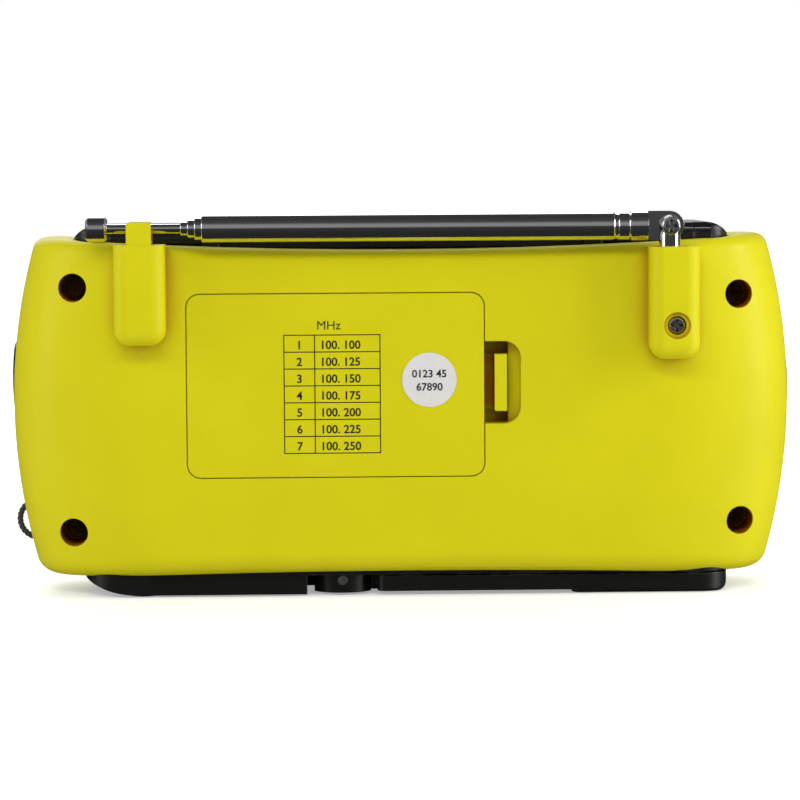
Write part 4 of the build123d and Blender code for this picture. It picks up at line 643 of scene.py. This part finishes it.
def floor_finish():
    """Pale floor that glows whiter away from the object, and looks dark in mirrored surfaces."""
    g = Graph("floor")
    dust = g.noise(scale=6, detail=4)
    base = g.mix(g.spread(dust, 0, 1), (0.90, 0.90, 0.90), (0.93, 0.93, 0.93))
    rays = g.node("ShaderNodeLightPath")
    base = g.mix(rays.outputs["Is Glossy Ray"], base, FLOOR_MIRRORED)
    glow = g.node("ShaderNodeEmission")
    total = g.node("ShaderNodeAddShader")
    reach = g.node("ShaderNodeVectorMath", operation="LENGTH")
    g.link(g.place, reach.inputs[0])
    level = g.spread(reach.outputs["Value"], FLOOR_GLOW, 1.0, GLOW_START, GLOW_END)
    g.link(g.math("MULTIPLY", rays.outputs["Is Camera Ray"], level), glow.inputs["Strength"])
    g.link(g.bsdf.outputs["BSDF"], total.inputs[0])
    g.link(glow.outputs["Emission"], total.inputs[1])
    # Seen from below, the floor is clear, so the underside can be looked at
    below = g.node("ShaderNodeMixShader")
    g.link(g.node("ShaderNodeNewGeometry").outputs["Backfacing"], below.inputs[0])
    g.link(total.outputs["Shader"], below.inputs[1])
    g.link(g.node("ShaderNodeBsdfTransparent").outputs["BSDF"], below.inputs[2])
    g.link(below.outputs["Shader"], g.tree.nodes["Material Output"].inputs["Surface"])
    return g.finish(base, g.spread(dust, 0.55, 0.65))


floor_mesh = bpy.data.meshes.new("floor")
floor_corners = [(x * FLOOR_HALF, y * FLOOR_HALF, 0) for x, y in ((-1, -1), (1, -1), (1, 1), (-1, 1))]
floor_mesh.from_pydata(floor_corners, [], [(0, 1, 2, 3)])
floor_mesh.materials.append(floor_finish())
show(bpy.data.objects.new("floor", floor_mesh))

# ---------------------------------------------------------------- lights
AIM = Vector((0, 0, 0.055))


def soft_light(name, place, power, width, height):
    """Rectangular lamp aimed at the object. Sizes in metres, power in watts."""
    data = bpy.data.lights.new(name, "AREA")
    data.energy = power
    data.shape = "RECTANGLE"
    data.size = width
    data.size_y = height
    lamp = show(bpy.data.objects.new(name, data))
    lamp.location = place
    lamp.rotation_euler = (AIM - Vector(place)).to_track_quat("-Z", "Y").to_euler()
    return lamp


key_light = soft_light("key_light", (0.15, 1.0, 0.80), power=5.7, width=1.1, height=0.22)
soft_light("left_light", (1.0, 0.35, 0.30), power=4.0, width=0.45, height=0.9)
soft_light("right_light", (-1.0, 0.30, 0.30), power=9.5, width=0.45, height=0.9)
soft_light("front_light", (0.2, -1.0, 0.75), power=7.0, width=1.0, height=1.0)

# Mirrored surfaces see the graded sky instead of the hard edge of the key light
key_light.visible_glossy = False

# ---------------------------------------------------------------- studio surroundings
SKY_LEVELS = ((0.0, 0.07), (0.28, 0.30), (0.48, 0.24), (0.68, 0.07), (1.0, 0.04))
FILL_LEVEL = 0.38


def studio_world():
    """White to the camera, evenly dim for filling shadows, and darker overhead in reflections."""
    world = bpy.data.worlds.new("studio")
    world.use_nodes = True
    add, link = world.node_tree.nodes.new, world.node_tree.links.new
    rays = add("ShaderNodeLightPath")
    split = add("ShaderNodeSeparateXYZ")
    link(add("ShaderNodeTexCoord").outputs["Generated"], split.inputs["Vector"])
    gradient = add("ShaderNodeValToRGB")
    elements = gradient.color_ramp.elements
    while len(elements) < len(SKY_LEVELS):
        elements.new(0.5)
    for element, (position, level) in zip(elements, SKY_LEVELS):
        element.position = position
        element.color = (level, level, level, 1)
    link(split.outputs["Z"], gradient.inputs["Fac"])
    # Inputs 0, 6 and 7 of a colour mix are its factor and its colours, and output 2 the result
    glossy_mix, camera_mix = add("ShaderNodeMix"), add("ShaderNodeMix")
    for choice in (glossy_mix, camera_mix):
        choice.data_type = "RGBA"
    glossy_mix.inputs[6].default_value = (FILL_LEVEL, FILL_LEVEL, FILL_LEVEL, 1)
    camera_mix.inputs[7].default_value = (1, 1, 1, 1)
    link(rays.outputs["Is Glossy Ray"], glossy_mix.inputs[0])
    link(gradient.outputs["Color"], glossy_mix.inputs[7])
    link(rays.outputs["Is Camera Ray"], camera_mix.inputs[0])
    link(glossy_mix.outputs[2], camera_mix.inputs[6])
    link(camera_mix.outputs[2], world.node_tree.nodes["Background"].inputs["Color"])
    return world


bpy.context.scene.world = studio_world()
bpy.context.scene.view_settings.view_transform = "Standard"

# ---------------------------------------------------------------- camera
CAMERA_PLACE = Vector((24.5, 905, 118.5)) * MM
CAMERA_TARGET = Vector((0.5, 0, 52.5)) * MM
LENS, SENSOR_WIDTH = 146.1, 36
ROLL = math.radians(-0.35)


def add_camera():
    """Camera at the back of the object, a little above it, and turned slightly about its own view line."""
    data = bpy.data.cameras.new("camera")
    data.lens = LENS
    data.sensor_width = SENSOR_WIDTH
    camera = show(bpy.data.objects.new("camera", data))
    forward = (CAMERA_TARGET - CAMERA_PLACE).normalized()
    side = forward.cross(Vector((0, 0, 1))).normalized()
    over = side.cross(forward)
    right = side * math.cos(ROLL) + over * math.sin(ROLL)
    up = over * math.cos(ROLL) - side * math.sin(ROLL)
    turn = Matrix((right, up, -forward)).transposed().to_4x4()
    camera.matrix_world = Matrix.Translation(CAMERA_PLACE) @ turn
    return camera


bpy.context.scene.camera = add_camera()
